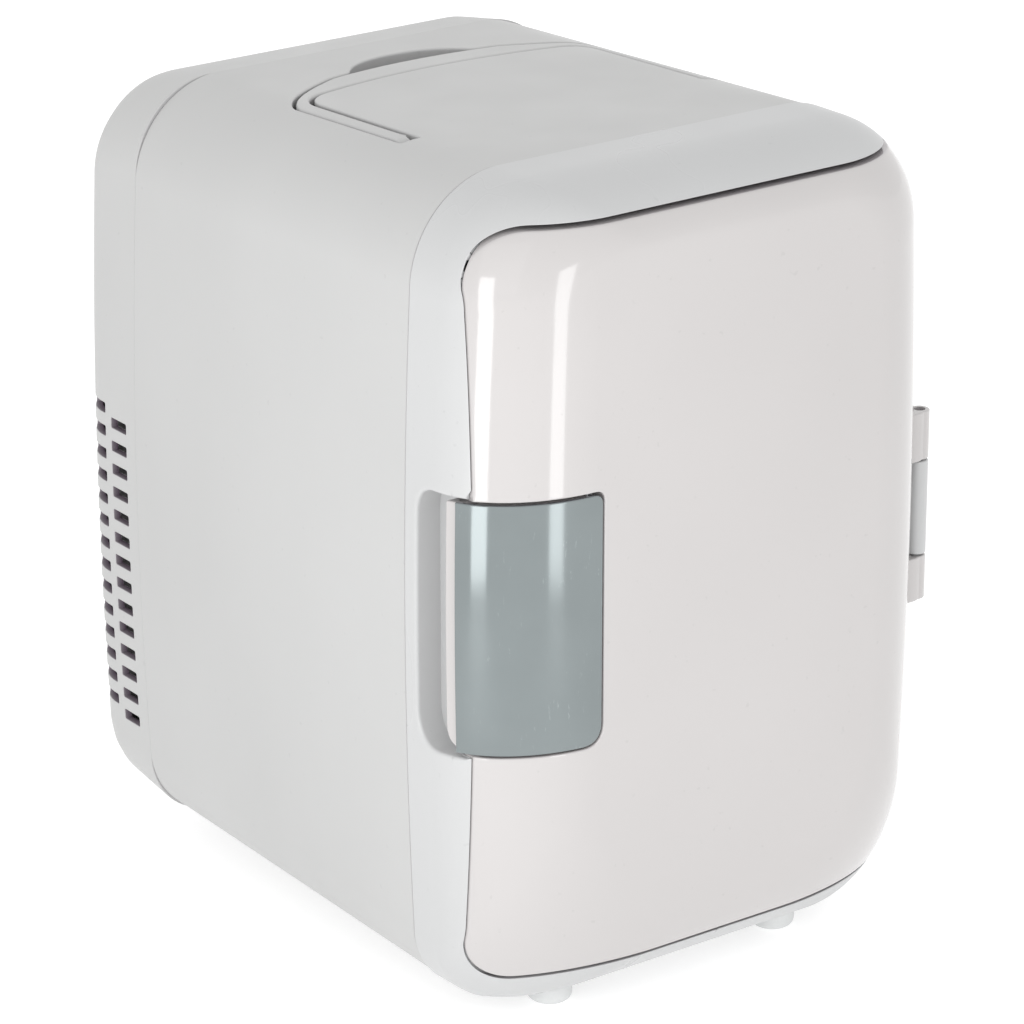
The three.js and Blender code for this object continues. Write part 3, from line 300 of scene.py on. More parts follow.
class Build:
    """Collects corners, faces, corner normals, the edge marks and the gap marks of painted shade, then makes
    one object.
    """

    def __init__(self):
        self.points, self.normals, self.faces, self.count = [], [], [], 0
        # The second list holds how much painted shade darkens each corner.
        self.marks, self.gap_shades = [], []

    def add(self, points, normals, faces, mark=0.0, gap=0.0):
        self.points.append(points)
        self.normals.append(normals)
        self.marks.append(np.full(len(points), float(mark)) if np.isscalar(mark) else mark)
        self.gap_shades.append(np.full(len(points), float(gap)) if np.isscalar(gap) else gap)
        self.faces += [tuple(int(i) + self.count for i in f) for f in faces]
        self.count += len(points)

    def patch(self, surface, loops, spacing, sign=1):
        """A sheet over loops of parameters with rounded edges and walls. A loop is (points, ends, size, gap):
        ends gives each corner's far end of the wall, from its place and normal, size is the edge rounding, 0
        where the sheet just stops, and gap is how far painted shade darkens the wall."""

        def at(p):
            e = 0.02
            here = surface(p)
            pa = (surface(p + [e, 0]) - surface(p - [e, 0])) / (2 * e)
            pb = (surface(p + [0, e]) - surface(p - [0, e])) / (2 * e)
            return here, pa, pb, unit(np.cross(pa, pb))

        rims = []
        for number, (p, ends, size, gap) in enumerate(loops):
            p = np.asarray(p, float)
            q = np.roll(p, -1, 0)
            area = np.sum(p[:, 0] * q[:, 1] - q[:, 0] * p[:, 1]) / 2
            size = np.full(len(p), float(size)) if np.isscalar(size) else np.asarray(size, float)
            gap = np.full(len(p), float(gap)) if np.isscalar(gap) else np.asarray(gap, float)
            if (area > 0) != (number == 0):
                p, size, gap = p[::-1].copy(), size[::-1].copy(), gap[::-1].copy()
            here, pa, pb, up = at(p)
            if ends is None:
                rims.append(p)
                continue
            tangent = unit(np.roll(here, -1, 0) - np.roll(here, 1, 0))
            inward = np.cross(up, tangent)
            far = ends(here, up * sign)
            wall = unit(far - here)
            deep = np.linalg.norm(far - here, axis=1)
            length = np.minimum(size, 0.45 * deep)
            step = inward * length[:, None]
            aa, ab, bb = (pa * pa).sum(1), (pa * pb).sum(1), (pb * pb).sum(1)
            sa, sb = (step * pa).sum(1), (step * pb).sum(1)
            det = aa * bb - ab * ab
            rim = p + np.stack([(bb * sa - ab * sb) / det, (aa * sb - ab * sa) / det], 1)
            start, _, _, start_up = at(rim)
            rows, normals, marks, gap_shades = [start], [start_up * sign], [0.0], [0 * gap]
            steps = 5
            for i in range(1, steps + 1):
                t = i / steps
                a, b, c = (1 - t) ** 2, 2 * t * (1 - t), t * t
                row = start * a + here * b + (here + wall * length[:, None]) * c
                slope = (here - start) * (1 - t) + wall * length[:, None] * t
                slope = np.where(length[:, None] > 1e-6, slope, wall)
                rows.append(row)
                normals.append(unit(np.cross(slope, tangent)) * sign)
                # The edge mark peaks halfway round the rounding.
                marks.append(1 - abs(2 * t - 1) * 0.5)
                # Painted shade deepens down the rounded edge and is full on the wall.
                gap_shades.append(gap * 0.7 * t * t)
            rows.append(far)
            normals.append(normals[-1])
            marks.append(0.0)
            gap_shades.append(gap)
            n = len(p)
            open_ = size <= 0
            faces = []
            for r in range(len(rows) - 1):
                for i in range(n):
                    j = (i + 1) % n
                    if open_[i] and open_[j]:
                        continue
                    quad = (r * n + i, (r + 1) * n + i, (r + 1) * n + j, r * n + j)
                    faces.append(quad if sign > 0 else quad[::-1])
            self.add(np.concatenate(rows), np.concatenate(normals), faces, np.repeat(marks, n),
                     np.concatenate(gap_shades))
            rims.append(rim)
        low, high = rims[0].min(0), rims[0].max(0)
        grid = []
        for k, b in enumerate(np.arange(low[1] + spacing / 2, high[1], spacing * 0.87)):
            shift = spacing / 2 if k % 2 else 0
            a = np.arange(low[0] + spacing / 3 + shift, high[0], spacing)
            grid.append(np.stack([a, np.full(len(a), b)], 1))
        grid = np.concatenate(grid)
        grid = grid[inside_all(grid, rims)]
        border = np.concatenate(rims)
        near = np.array([np.min((border[:, 0] - g[0]) ** 2 + (border[:, 1] - g[1]) ** 2) for g in grid])
        grid = grid[near > (spacing * 0.45) ** 2]
        edges, base = [], 0
        for rim in rims:
            edges += [(base + i, base + (i + 1) % len(rim)) for i in range(len(rim))]
            base += len(rim)
        every = [Vector((float(a), float(b))) for a, b in np.concatenate([border, grid])]
        out = delaunay_2d_cdt(every, edges, [], 0, 1e-6)
        flat = np.array([(v.x, v.y) for v in out[0]])
        tris = np.array([list(f)[:3] for f in out[2]])
        middle = flat[tris].mean(1)
        tris = tris[inside_all(middle, rims)]
        a, b, c = flat[tris[:, 0]], flat[tris[:, 1]], flat[tris[:, 2]]
        turn = (b[:, 0] - a[:, 0]) * (c[:, 1] - a[:, 1]) - (b[:, 1] - a[:, 1]) * (c[:, 0] - a[:, 0])
        tris[turn * sign < 0] = tris[turn * sign < 0][:, ::-1]
        here, _, _, up = at(flat)
        self.add(here, up * sign, tris)

    def lathe(self, profile, centre, sides=64):
        """A turned shape about Z: profile lists (radius, height) upwards on the outside."""
        rows, normals = [], []
        angle = np.arange(sides) / sides * 2 * math.pi
        c, s = np.cos(angle), np.sin(angle)
        for (r0, z0), (r1, z1) in zip(profile[:-1], profile[1:]):
            slope = unit(np.array([[z1 - z0, -(r1 - r0)]]))[0]
            for r, z in ((r0, z0), (r1, z1)):
                place = [centre[0] + r * c, centre[1] + r * s, np.full(sides, centre[2] + z)]
                rows.append(np.stack(place, 1))
                normals.append(np.stack([slope[0] * c, slope[0] * s, np.full(sides, slope[1])], 1))
        for i in range(1, len(rows) - 2, 2):
            if (normals[i][0] * normals[i + 1][0]).sum() > 0.75:
                both = unit(normals[i] + normals[i + 1])
                normals[i] = normals[i + 1] = both
        faces = []
        for k in range(0, len(rows), 2):
            for i in range(sides):
                j = (i + 1) % sides
                faces.append((k * sides + i, k * sides + j, (k + 1) * sides + j, (k + 1) * sides + i))
        self.add(np.concatenate(rows), np.concatenate(normals), faces)

    def cad(self, node, keep):
        """The node's own faces where keep(corners, normal) is true, smooth across edges under 32 degrees."""
        mesh = NODES[node].data
        co = np.zeros(len(mesh.vertices) * 3)
        mesh.vertices.foreach_get("co", co)
        co = co.reshape(-1, 3) * 1000 - SHIFT
        mesh.calc_loop_triangles()
        tri = np.array([t.vertices[:] for t in mesh.loop_triangles])
        corner = co[tri]
        cross = np.cross(corner[:, 1] - corner[:, 0], corner[:, 2] - corner[:, 0])
        normal = unit(cross)
        size = np.linalg.norm(cross, axis=1)
        key = {}
        for i, t in enumerate(corner):
            for c in t:
                key.setdefault(tuple(np.round(c, 2)), []).append(i)
        points, normals = [], []
        for i, t in enumerate(corner):
            if not keep(t, normal[i]):
                continue
            for c in t:
                near = [k for k in key[tuple(np.round(c, 2))] if normal[k] @ normal[i] > 0.85]
                mean = (normal[near] * size[near][:, None]).sum(0)
                points.append(c)
                normals.append(mean / max(np.linalg.norm(mean), 1e-12))
        if points:
            faces = [(i, i + 1, i + 2) for i in range(0, len(points), 3)]
            self.add(np.array(points), np.array(normals), faces)

    def make(self, name, body, slot, material, *nodes):
        mesh = bpy.data.meshes.new(name)
        points = (np.concatenate(self.points) + SHIFT) / 1000
        mesh.from_pydata(points.tolist(), [], self.faces)
        mesh.polygons.foreach_set("use_smooth", [True] * len(mesh.polygons))
        # The gap attribute carries the painted shade that the materials put on walls.
        for title, values in (("edge", self.marks), ("gap", self.gap_shades)):
            mark = mesh.attributes.new(title, "FLOAT", "POINT")
            mark.data.foreach_set("value", np.concatenate(values))
        mesh.normals_split_custom_set_from_vertices(np.concatenate(self.normals).tolist())
        mesh.materials.append(material)
        obj = bpy.data.objects.new(name, mesh)
        bpy.context.scene.collection.objects.link(obj)
        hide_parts(*nodes)
        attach(obj, body)


def curve(*points):
    """A polyline: a pair (a, b) is a corner, and (control, end, steps) a quadratic curve to its end."""
    out = [np.array(points[0], float)]
    for item in points[1:]:
        if len(item) == 2:
            end = np.array(item, float)
            steps = max(1, int(np.linalg.norm(end - out[-1]) / 2.5))
            start = out[-1]
            out += [start + (end - start) * i / steps for i in range(1, steps + 1)]
        else:
            control, end, steps = np.array(item[0], float), np.array(item[1], float), item[2]
            start = out[-1]
            for i in range(1, steps + 1):
                t = i / steps
                out.append(start * (1 - t) ** 2 + control * 2 * t * (1 - t) + end * t * t)
    if np.linalg.norm(out[0] - out[-1]) < 1e-6:
        out.pop()
    return np.array(out)


def rounded_slot(a0, a1, b0, b1, r):
    """A rectangle with round corners."""
    points = []
    for cx, cz, start in ((a1 - r, b1 - r, 0), (a0 + r, b1 - r, 1), (a0 + r, b0 + r, 2), (a1 - r, b0 + r, 3)):
        for i in range(5):
            angle = (start + i / 4) * math.pi / 2
            points.append((cx + r * math.cos(angle), cz + r * math.sin(angle)))
    return curve(*points, points[0])


def round_loop(a, b, r, steps=32):
    angle = np.arange(steps) / steps * 2 * math.pi
    return np.stack([a + r * np.cos(angle), b + r * np.sin(angle)], 1)


def inward(depth):
    """Walls that end straight below the edge."""
    return lambda here, up: here - up * depth


def to_plane(axis, value):
    """Walls that end on a plane."""
    def ends(here, up):
        far = here.copy()
        far[:, axis] = value
        return far
    return ends


# ---------------------------------------------------------------- the frame round the door
def on_front_form(corner, slack=1.0):
    """Which corners lie within slack of the rolled front form, or outside it."""
    x, y, z = corner[:, 0], corner[:, 1], corner[:, 2]
    theta = np.arcsin(np.clip((ROLL_Y - y) / ROLL_DEPTH, 0, 1))
    return (outside(x, z, front_section(theta)) > -slack) | (y < front_y(x, z) + slack)


def opening_v(u):
    """Where the frame's surface meets the door opening, as v for each u."""
    low, high = np.full_like(u, float(v_of(np.array(FRAME_FACE_Y)))), np.full_like(u, 52.0)
    opening = opening_section()
    for _ in range(34):
        middle = (low + high) / 2
        theta, _ = roll_of(middle)
        x, z = ring(u, front_section(theta))
        out = outside(x, z, opening) > 0
        low, high = np.where(out, middle, low), np.where(out, high, middle)
    return (low + high) / 2


def recess_outline(front_y, *more):
    """The finger recess as Y and Z, open to the front at front_y unless more corners close it."""
    run, rise = RECESS_LOWER_EASE
    return curve((front_y, RECESS_BOTTOM), (RECESS_BACK_Y - run, RECESS_BOTTOM),
                 ((RECESS_BACK_Y, RECESS_BOTTOM), (RECESS_BACK_Y, RECESS_BOTTOM + rise), 14),
                 (RECESS_BACK_Y, RECESS_TOP - RECESS_EASE),
                 ((RECESS_BACK_Y, RECESS_TOP), (RECESS_BACK_Y - RECESS_EASE, RECESS_TOP), 12),
                 (front_y, RECESS_TOP), *more)


def make_frame(material):
    build = Build()
    start, stop = SPAN
    opening = []
    for u in np.linspace(stop, start, 481):
        opening.append((u, float(opening_v(np.array([u]))[0]), "door"))
    path = []
    for y, z in recess_outline(-30):
        v = float(v_of(np.array(y)))
        theta, _ = roll_of(np.array(v))
        u = float(side_u(z, front_section(theta), -1))
        if v < float(opening_v(np.array([u]))[0]) - 0.05:
            path.append((u, v, "recess"))
    first, last = path[0][0], path[-1][0]
    loop = [(u, SEAM_INSET, "seam") for u in np.linspace(start, stop, 321)]
    loop += [(stop, v, "end") for v in np.linspace(SEAM_INSET, opening[0][1], 14)[1:-1]]
    loop += [q for q in opening if q[0] > first + 0.003]
    loop += path
    loop += [q for q in opening if q[0] < last - 0.003]
    loop += [(start, v, "end") for v in np.linspace(opening[-1][1], SEAM_INSET, 14)[1:-1]]
    tags = [t for _, _, t in loop]
    points = np.array([(u * AROUND, v) for u, v, _ in loop])
    size = np.array([{"seam": 0.7, "end": 0.0, "door": 0.5, "recess": 1.4}[t] for t in tags])
    around = points[:, 0] / AROUND % 8
    # Painted shade in the frame's gap walls round the door: darkest along the top and bottom, faint down the
    # left side; the seam walls get some, the cut ends and the recess none.
    gap = np.interp(around, (2.2, 2.9, 4.0, 4.1, 5.0, 5.8), (0.35, 0.15, 0.15, 0.05, 0.05, 0.3))
    for tag, shade in (("seam", 0.5), ("end", 0.0), ("recess", 0.0)):
        gap[[t == tag for t in tags]] = shade
    size[[t == "door" and p[1] < 20.6 for t, p in zip(tags, points)]] = 0.3

    def ends(here, up):
        far = here - up * 2.5
        for i, (p, t) in enumerate(zip(here, tags)):
            if t == "recess":
                far[i] = (RECESS_FLOOR_X, p[1], p[2])
            elif t == "door" and p[1] > FRAME_FACE_Y - 0.3:
                far[i] = p - unit(np.array([[up[i][0], 0, up[i][2]]]))[0] * 2.5
            elif t == "door":
                far[i] = (p[0], FRAME_FACE_Y, p[2])
        return far

    build.patch(frame_surface, [(points, ends, size, gap)], 3.2, sign=frame_sign(frame_surface, points))
    floor = recess_outline(-21.4, (-21.4, RECESS_BOTTOM))
    build.patch(plane_surface(0, RECESS_FLOOR_X - 0.03), [(floor, None, 0, 0)], 8, sign=-1)

    def keep(corner, normal):
        if corner[:, 0].mean() > 88.2:
            return False
        if normal[1] < -0.99 and abs(corner[:, 1].mean() - FRAME_FACE_Y) < 0.1:
            return True
        return not on_front_form(corner).any()

    build.cad("front_frame", keep)
    knuckle(build, KNUCKLES[2] + 0.3, KNUCKLES[1] - 0.3,
            [(85, FRAME_FACE_Y), (89.61, FRAME_FACE_Y)], [(91.3, -17.4), (85, -17.4)])
    build.make("frame_look", "cabinet", "frame_white", material, "front_frame")


def frame_sign(surface, points):
    """1 if the surface's parameters turn so that its normals point away from the cabinet, or -1."""
    p = points.mean(0)[None]
    e = 0.05
    a = surface(p + [e, 0]) - surface(p - [e, 0])
    b = surface(p + [0, e]) - surface(p - [0, e])
    here = surface(p)[0] * [1, 0, 1]
    return 1 if np.cross(a, b)[0] @ here > 0 else -1


def knuckle(build, low, high, before, after, bore=0.0):
    """A hinge barrel with its web, with eased ends: before and after are the web's corners on each side."""
    start = math.atan2(before[-1][1] - HINGE[1], before[-1][0] - HINGE[0])
    stop = math.atan2(after[0][1] - HINGE[1], after[0][0] - HINGE[0])
    stop += 2 * math.pi if stop < start else 0
    turn = np.linspace(start, stop, 41)
    arc = [(HINGE[0] + KNUCKLE_RADIUS * math.cos(a), HINGE[1] + KNUCKLE_RADIUS * math.sin(a)) for a in turn]
    loop = np.array(list(before) + arc + list(after))
    middle = (low + high) / 2
    # The bore's wall gets a little painted shade.
    holes = [(round_loop(*HINGE, bore), to_plane(2, high - 2), 0.25, 0.2)] if bore else []
    build.patch(plane_surface(2, high), [(loop, to_plane(2, middle), 0.6, 0)] + holes, 2.0, sign=1)
    build.patch(plane_surface(2, low), [(loop, to_plane(2, middle), 0.6, 0)], 2.0, sign=-1)


# ---------------------------------------------------------------- the door
def make_door(material):
    build = Build()
    theta = math.asin((ROLL_Y - DOOR_BACK_Y) / ROLL_DEPTH)
    x, z = ring(np.linspace(7, 10, 241), front_section(theta))
    flank = [(a, b) for a, b in zip(x, z) if a > 20 and DOOR_BOTTOM <= b <= DOOR_TOP]
    upper, lower = LATCH_TOP + LATCH_GAP, LATCH_BOTTOM - LATCH_GAP
    right = LATCH_RIGHT + LATCH_GAP
    quarter = np.linspace(0, math.pi / 2, 25)
    head = np.stack([DOOR_LEFT + DOOR_CORNER * (1 - np.sin(quarter)),
                     DOOR_TOP - DOOR_CORNER * (1 - np.cos(quarter))], 1)
    foot = np.stack([DOOR_LEFT + DOOR_LOWER_CORNER * (1 - np.cos(quarter)),
                     DOOR_BOTTOM + DOOR_LOWER_CORNER * (1 - np.sin(quarter))], 1)
    over = np.concatenate([curve((flank[-1][0] - 0.4, DOOR_TOP), head[0]), head[1:],
                           curve(head[-1], (DOOR_LEFT, upper))[1:]])
    pocket = curve((DOOR_LEFT, upper), (right - 3, upper), ((right, upper), (right, upper - 3), 8),
                   (right, lower + 7), ((right, lower), (right - 7, lower), 10), (DOOR_LEFT, lower))
    under = np.concatenate([curve((DOOR_LEFT, lower), foot[0]), foot[1:],
                            curve(foot[-1], (flank[0][0] - 0.4, DOOR_BOTTOM))[1:]])
    loop = [(a, b, "flank") for a, b in flank] + [(a, b, "rim") for a, b in over]
    loop += [(a, b, "pocket") for a, b in pocket[1:-1]] + [(a, b, "rim") for a, b in under]
    tags = [t for _, _, t in loop]
    size = np.array([{"flank": 0.5, "rim": 0.7, "pocket": 0.7}[t] for t in tags])
    # Painted shade in the door's edge walls: faint at the left edge and darker towards the right; the hinge
    # flank and the latch pocket get a set amount.
    gap = np.interp([a for a, _, _ in loop], (DOOR_LEFT + 3, DOOR_LEFT + 14, 0), (0.05, 0.15, 0.45))
    for tag, shade in (("flank", 0.2), ("pocket", 0.15)):
        gap[[t == tag for t in tags]] = shade

    def ends(here, up):
        far = here - up * 5.9
        for i, (p, t) in enumerate(zip(here, tags)):
            if t == "rim":
                far[i] = (p[0], DOOR_BACK_Y, p[2])
            elif t == "flank":
                far[i] = p - unit(np.array([[up[i][0], 0, up[i][2]]]))[0] * 2.5
        return far

    build.patch(face_surface(0.0), [(np.array([(a, b) for a, b, _ in loop]), ends, size, gap)], 2.6)

    def keep(corner, normal):
        return corner[:, 0].mean() < 88.2 and not on_front_form(corner).any()

    build.cad("door_panel", keep)
    web = ([(84, -24.6), (90.0, -24.6), (92.0, -23.9)], [(89.71, -21.6), (84, -21.6)])
    knuckle(build, KNUCKLES[1] + 0.3, KNUCKLES[0], *web, bore=1.8)
    knuckle(build, KNUCKLES[3], KNUCKLES[2] - 0.3, *web)
    build.make("door_look", "door", "door_white", material, "door_panel")


def flank_x(z, y, inset):
    """The left flank of the front form, as x at a height and depth."""
    theta = np.arcsin(np.clip((ROLL_Y - y) / (ROLL_DEPTH - inset), 0, 1))
    d = front_section(theta, inset)
    low, high = -d["bottom"] + d["lower"], d["top"] - d["radius"]
    q = np.clip((z - (low + high) / 2) / ((high - low) / 2), -1, 1)
    return -(d["left"] - d["bow"] + d["bow"] * (1 - q * q))


def make_latch(silver, white):
    build = Build()
    edge = [(float(flank_x(np.array(z), np.array(PLATE_BACK_Y), -PLATE_PROUD)), z)
            for z in np.linspace(LATCH_TOP, LATCH_BOTTOM, 40)]
    face = curve((edge[-1][0], LATCH_BOTTOM), (LATCH_RIGHT - 7, LATCH_BOTTOM),
                 ((LATCH_RIGHT, LATCH_BOTTOM), (LATCH_RIGHT, LATCH_BOTTOM + 7), 12),
                 (LATCH_RIGHT, LATCH_TOP - 3), ((LATCH_RIGHT, LATCH_TOP), (LATCH_RIGHT - 3, LATCH_TOP), 8),
                 (edge[0][0], LATCH_TOP))
    loop = np.concatenate([np.array(edge[1:-1]), face])
    # The plate's edge walls get painted shade.
    build.patch(face_surface(-PLATE_PROUD), [(loop, inward(1.15), 0.45, 0.3)], 2.2)
    build.make("latch_plate_look", "latch", "latch_silver", silver, "latch_plate")

    build = Build()
    inset = 1.1

    def strip(p):
        return np.stack([flank_x(p[:, 0], p[:, 1], inset), p[:, 1], p[:, 0]], 1)

    top, bottom = LATCH_TOP - 0.4, LATCH_BOTTOM + 0.4
    back = LEVER_BACK_Y
    loop = curve((top, -24), (top, back - 0.8), ((top, back), (top - 0.8, back), 4), (bottom + 7.4, back),
                 ((bottom, back), (bottom, back - 7), 12), (bottom, -24), (top, -24))
    points = strip(loop)
    # The lever's edge walls get painted shade.
    build.patch(strip, [(loop, to_plane(0, float(points[:, 0].max()) + 3.5), 0.6, 0.3)], 2.4,
                sign=frame_sign(strip, loop))
    build.cad("latch_lever", lambda corner, normal: not (corner[:, 1] > -24.5).any()
              and not on_front_form(corner, 0.8).any())
    build.make("latch_lever_look", "latch", "door_white", white, "latch_lever")


# ---------------------------------------------------------------- shell, handle, rear cover, feet
def handle_loop(gap, inner_gap, front):
    """Outline of the carry handle, or of its channel, which is wider by gap and inner_gap."""
    steps = 18
    outer, inner = HANDLE_OUTER + gap, HANDLE_INNER - inner_gap
    bend = 103.5 - gap
    near = [PIVOT[0] + (front - PIVOT[0]) * i / 10 for i in range(11)]
    leg = [(-outer, y) for y in near] + [(-inner, y) for y in near[::-1]]
    other = [(inner, y) for y in near] + [(outer, y) for y in near[::-1]]
    loop = curve(*leg, (-inner, 91), ((-inner, bend - 3), (9 - inner, bend), steps),
                 ((0, 114.5 - gap), (inner - 9, bend), 2 * steps), ((inner, bend - 3), (inner, 91), steps),
                 *other, (outer, 92 + 3 * gap), ((outer, 104 + gap), (31.5, 117 + gap), steps),
                 ((0, 123.5 + gap), (-31.5, 117 + gap), 2 * steps),
                 ((-outer, 104 + gap), (-outer, 92 + 3 * gap), steps), leg[0])
    return loop + [HANDLE_X, 0]


def finger_y(x):
    """Rear edge of the finger hollow behind the handle's bar."""
    x = x - HANDLE_X
    t = np.linspace(0, 1, 60)
    along = FINGER_HALF_WIDTH * (1 - t) ** 2 + FINGER_HALF_WIDTH * 0.7 * 2 * t * (1 - t)
    back = 119 * (1 - t) ** 2 + 130 * 2 * t * (1 - t) + 130 * t * t
    return np.interp(-np.abs(x), -along, back)


def channel_loop():
    """The channel that the handle folds into, with the finger hollow behind the bar."""
    loop = handle_loop(0.6, 1.5, PIVOT[0] - END_RADIUS - 0.6)
    widened = []
    for x, y in loop:
        if y > 110 and abs(x - HANDLE_X) < FINGER_HALF_WIDTH:
            y = max(y, float(finger_y(np.array(x))))
        widened.append((x, y))
    return np.array(widened)


def sleeve_loop(start, stop, steps):
    """Border of a sheet right round the body, and a function that spreads values for its front and back
    edges over the border's corners, with 0 where the sheet meets itself."""
    u = np.linspace(*SPAN, 321) * AROUND
    points = [(a, start) for a in u]
    points += [(u[-1], v) for v in np.linspace(start, stop, steps)[1:-1]]
    points += [(a, stop) for a in u[::-1]]
    points += [(u[0], v) for v in np.linspace(stop, start, steps)[1:-1]]
    counts = (len(u), steps - 2, len(u), steps - 2)
    return np.array(points), lambda front, back: np.repeat((front, 0, back, 0), counts)


def make_shell(material):
    build = Build()
    outer, spread = sleeve_loop(SEAM_INSET, SHELL_BACK_Y, 40)
    channel = channel_loop()
    hole = np.stack([top_u(channel[:, 0], channel[:, 1]) * AROUND, channel[:, 1]], 1)

    def down(here, up):
        far = here.copy()
        far[:, 2] = top_z(here[:, 0], here[:, 1], CHANNEL_DEPTH - 0.06)
        return far

    # Painted shade on the walls at the front seam and the rear end, and a little round the handle channel.
    build.patch(shell_surface, [(outer, inward(2.5), spread(0.5, 0.5), spread(0.5, 0.2)),
                                (hole, down, 0.8, 0.1)], 4.2, sign=frame_sign(shell_surface, outer))
    build.patch(top_surface(CHANNEL_DEPTH - 0.06), [(channel, None, 0, 0)], 5)

    def keep(corner, normal):
        return not (outside(corner[:, 0], corner[:, 2], shell_section(corner[:, 1])) > -1.0).any()

    build.cad("outer_shell", keep)
    build.make("shell_look", "cabinet", "shell_white", material, "outer_shell")


def handle_top(p):
    """The handle's top: the shell's own form, turned down round the pivot at the front ends of the legs."""
    turn = np.maximum(PIVOT[0] - p[:, 1], 0) / END_RADIUS
    y = np.where(turn > 0, PIVOT[0] - END_RADIUS * np.sin(turn), p[:, 1])
    z = np.where(turn > 0, PIVOT[1] + END_RADIUS * np.cos(turn), 1000)
    return np.stack([p[:, 0], y, np.minimum(z, top_z(p[:, 0], y))], 1)


def make_handle(material):
    build = Build()

    def down(here, up):
        far = here.copy()
        far[:, 2] = top_z(here[:, 0], here[:, 1], HANDLE_THICK)
        return far

    loop = handle_loop(0, 0, PIVOT[0] - END_RADIUS * 1.5)
    # The handle's edge walls get some painted shade.
    build.patch(handle_top, [(loop, down, 1.3, 0.2)], 3)
    build.cad("carry_handle", lambda corner, normal: not (
        (outside(corner[:, 0], corner[:, 2], shell_section(corner[:, 1])) > -1.0).any()
        or (normal[1] < -0.2 and corner[:, 1].max() < PIVOT[0] + 0.1)))
    build.make("handle_look", "carry_handle", "shell_white", material, "carry_handle")


def vent_loops():
    """Two staggered columns of slots on each side of the cover."""
    loops = []
    edge_y = COVER_BACK_Y - COVER_EDGE
    for side in (-1, 1):
        for row in range(VENT_ROWS):
            z = VENT_TOP_Z - row * VENT_PITCH
            for y0, y1, lift in VENT_COLUMNS:
                slot = rounded_slot(y0, y1, z + lift - VENT_HALF_HEIGHT, z + lift + VENT_HALF_HEIGHT, 0.5)
                y, height = slot[:, 0], slot[:, 1]
                a = np.arccos(np.clip((y - edge_y) / COVER_EDGE, 0, 1))
                t = np.where(y < edge_y, y - COVER_FRONT_Y, COVER_FLAT + (math.pi / 2 - a) * COVER_ROLL)
                _, draw = cover_profile(t)
                u = side_u(height, cover_section(y, draw), side)
                # Painted shade fills the slots' walls.
                loops.append((np.stack([u * AROUND, t], 1), inward(2.4), 0.3, 1.0))
    return loops


def make_cover(material):
    build = Build()
    outer, spread = sleeve_loop(0.0, COVER_FLAT + COVER_ROLL * math.pi / 2, 14)
    # The cover's edge walls get some painted shade.
    build.patch(cover_surface, [(outer, inward(2.4), spread(0.4, 0), 0.2)] + vent_loops(), 3.6,
                sign=frame_sign(cover_surface, outer))

    section = cover_section(np.array(COVER_BACK_Y), np.array(COVER_DRAW))
    x, z = ring(np.linspace(0, 8, 320, endpoint=False), section)
    holes = []

    # Walls of the holes in the back get strong painted shade.
    def hole(loop, size=0.3, depth=2.45):
        holes.append((loop, inward(depth), size, 0.8))

    for row in range(-5, 6):
        rise = row * GRILLE_PITCH
        half = math.sqrt(GRILLE_RADIUS ** 2 - rise ** 2)
        low, high = GRILLE_Z + rise - GRILLE_HALF_SLOT, GRILLE_Z + rise + GRILLE_HALF_SLOT
        for a0, a1 in ((-half, -2), (2, half)):
            hole(rounded_slot(a0, a1, low, high, 1.2), 0.35)
    for sx, sz in COVER_SCREWS:
        hole(round_loop(sx, sz, 3.4), depth=3)
    mains, switch = (-50.3, -25.7, -100.3, -83.7), (-11.3, 11.3, -99.3, -84.7)
    hole(rounded_slot(*mains, 0.8))
    hole(rounded_slot(*switch, 0.8))
    low_voltage = round_loop(38, -92, 6.3)
    hole(low_voltage)
    for lamp_x in (-20, 20):
        hole(round_loop(lamp_x, -78, 1.8, 20), 0.2)
    build.patch(plane_surface(1, COVER_BACK_Y), [(np.stack([x, z], 1), None, 0, 0)] + holes, 4.5, sign=-1)

    def keep(corner, normal):
        y = corner[:, 1]
        along = ((y - COVER_BACK_Y + COVER_EDGE) / COVER_EDGE).clip(0, 1)
        draw = COVER_DRAW * (1 - np.sqrt(np.clip(1 - along ** 2, 0, 1)))
        out = outside(corner[:, 0], corner[:, 2], cover_section(y, draw)) > -1.0
        return not (out | (y > 178.9)).any()

    build.cad("rear_cover", keep)
    build.make("cover_look", "cabinet", "shell_white", material, "rear_cover")


def make_feet(material):
    for name, x, y in (("foot_front_left", -44, -13), ("foot_front_right", 44, -13),
                       ("foot_rear_left", -42, 132), ("foot_rear_right", 42, 132)):
        base = 126 if y < 0 else 125.5 - 3.5 * y / SHELL_BACK_Y
        rise = 132.5 - base - (0.3 if y < 0 else 0.9)
        profile = [(0.01, 0.5), (2.4, 0.5), (3.0, 0.0), (4.4, 0.0)]
        for i in range(1, 11):
            a = i / 10 * math.pi / 2
            profile.append((7 - 2.6 * (1 - math.sin(a)), 2.6 * (1 - math.cos(a))))
        profile += [(7.0, rise - 0.25), (6.75, rise), (2.0, rise), (2.0, rise + 2.5), (0.01, rise + 2.5)]
        build = Build()
        build.lathe(profile, (x, y, -132.5))
        build.make(name + "_look", "cabinet", "rubber", material, name)


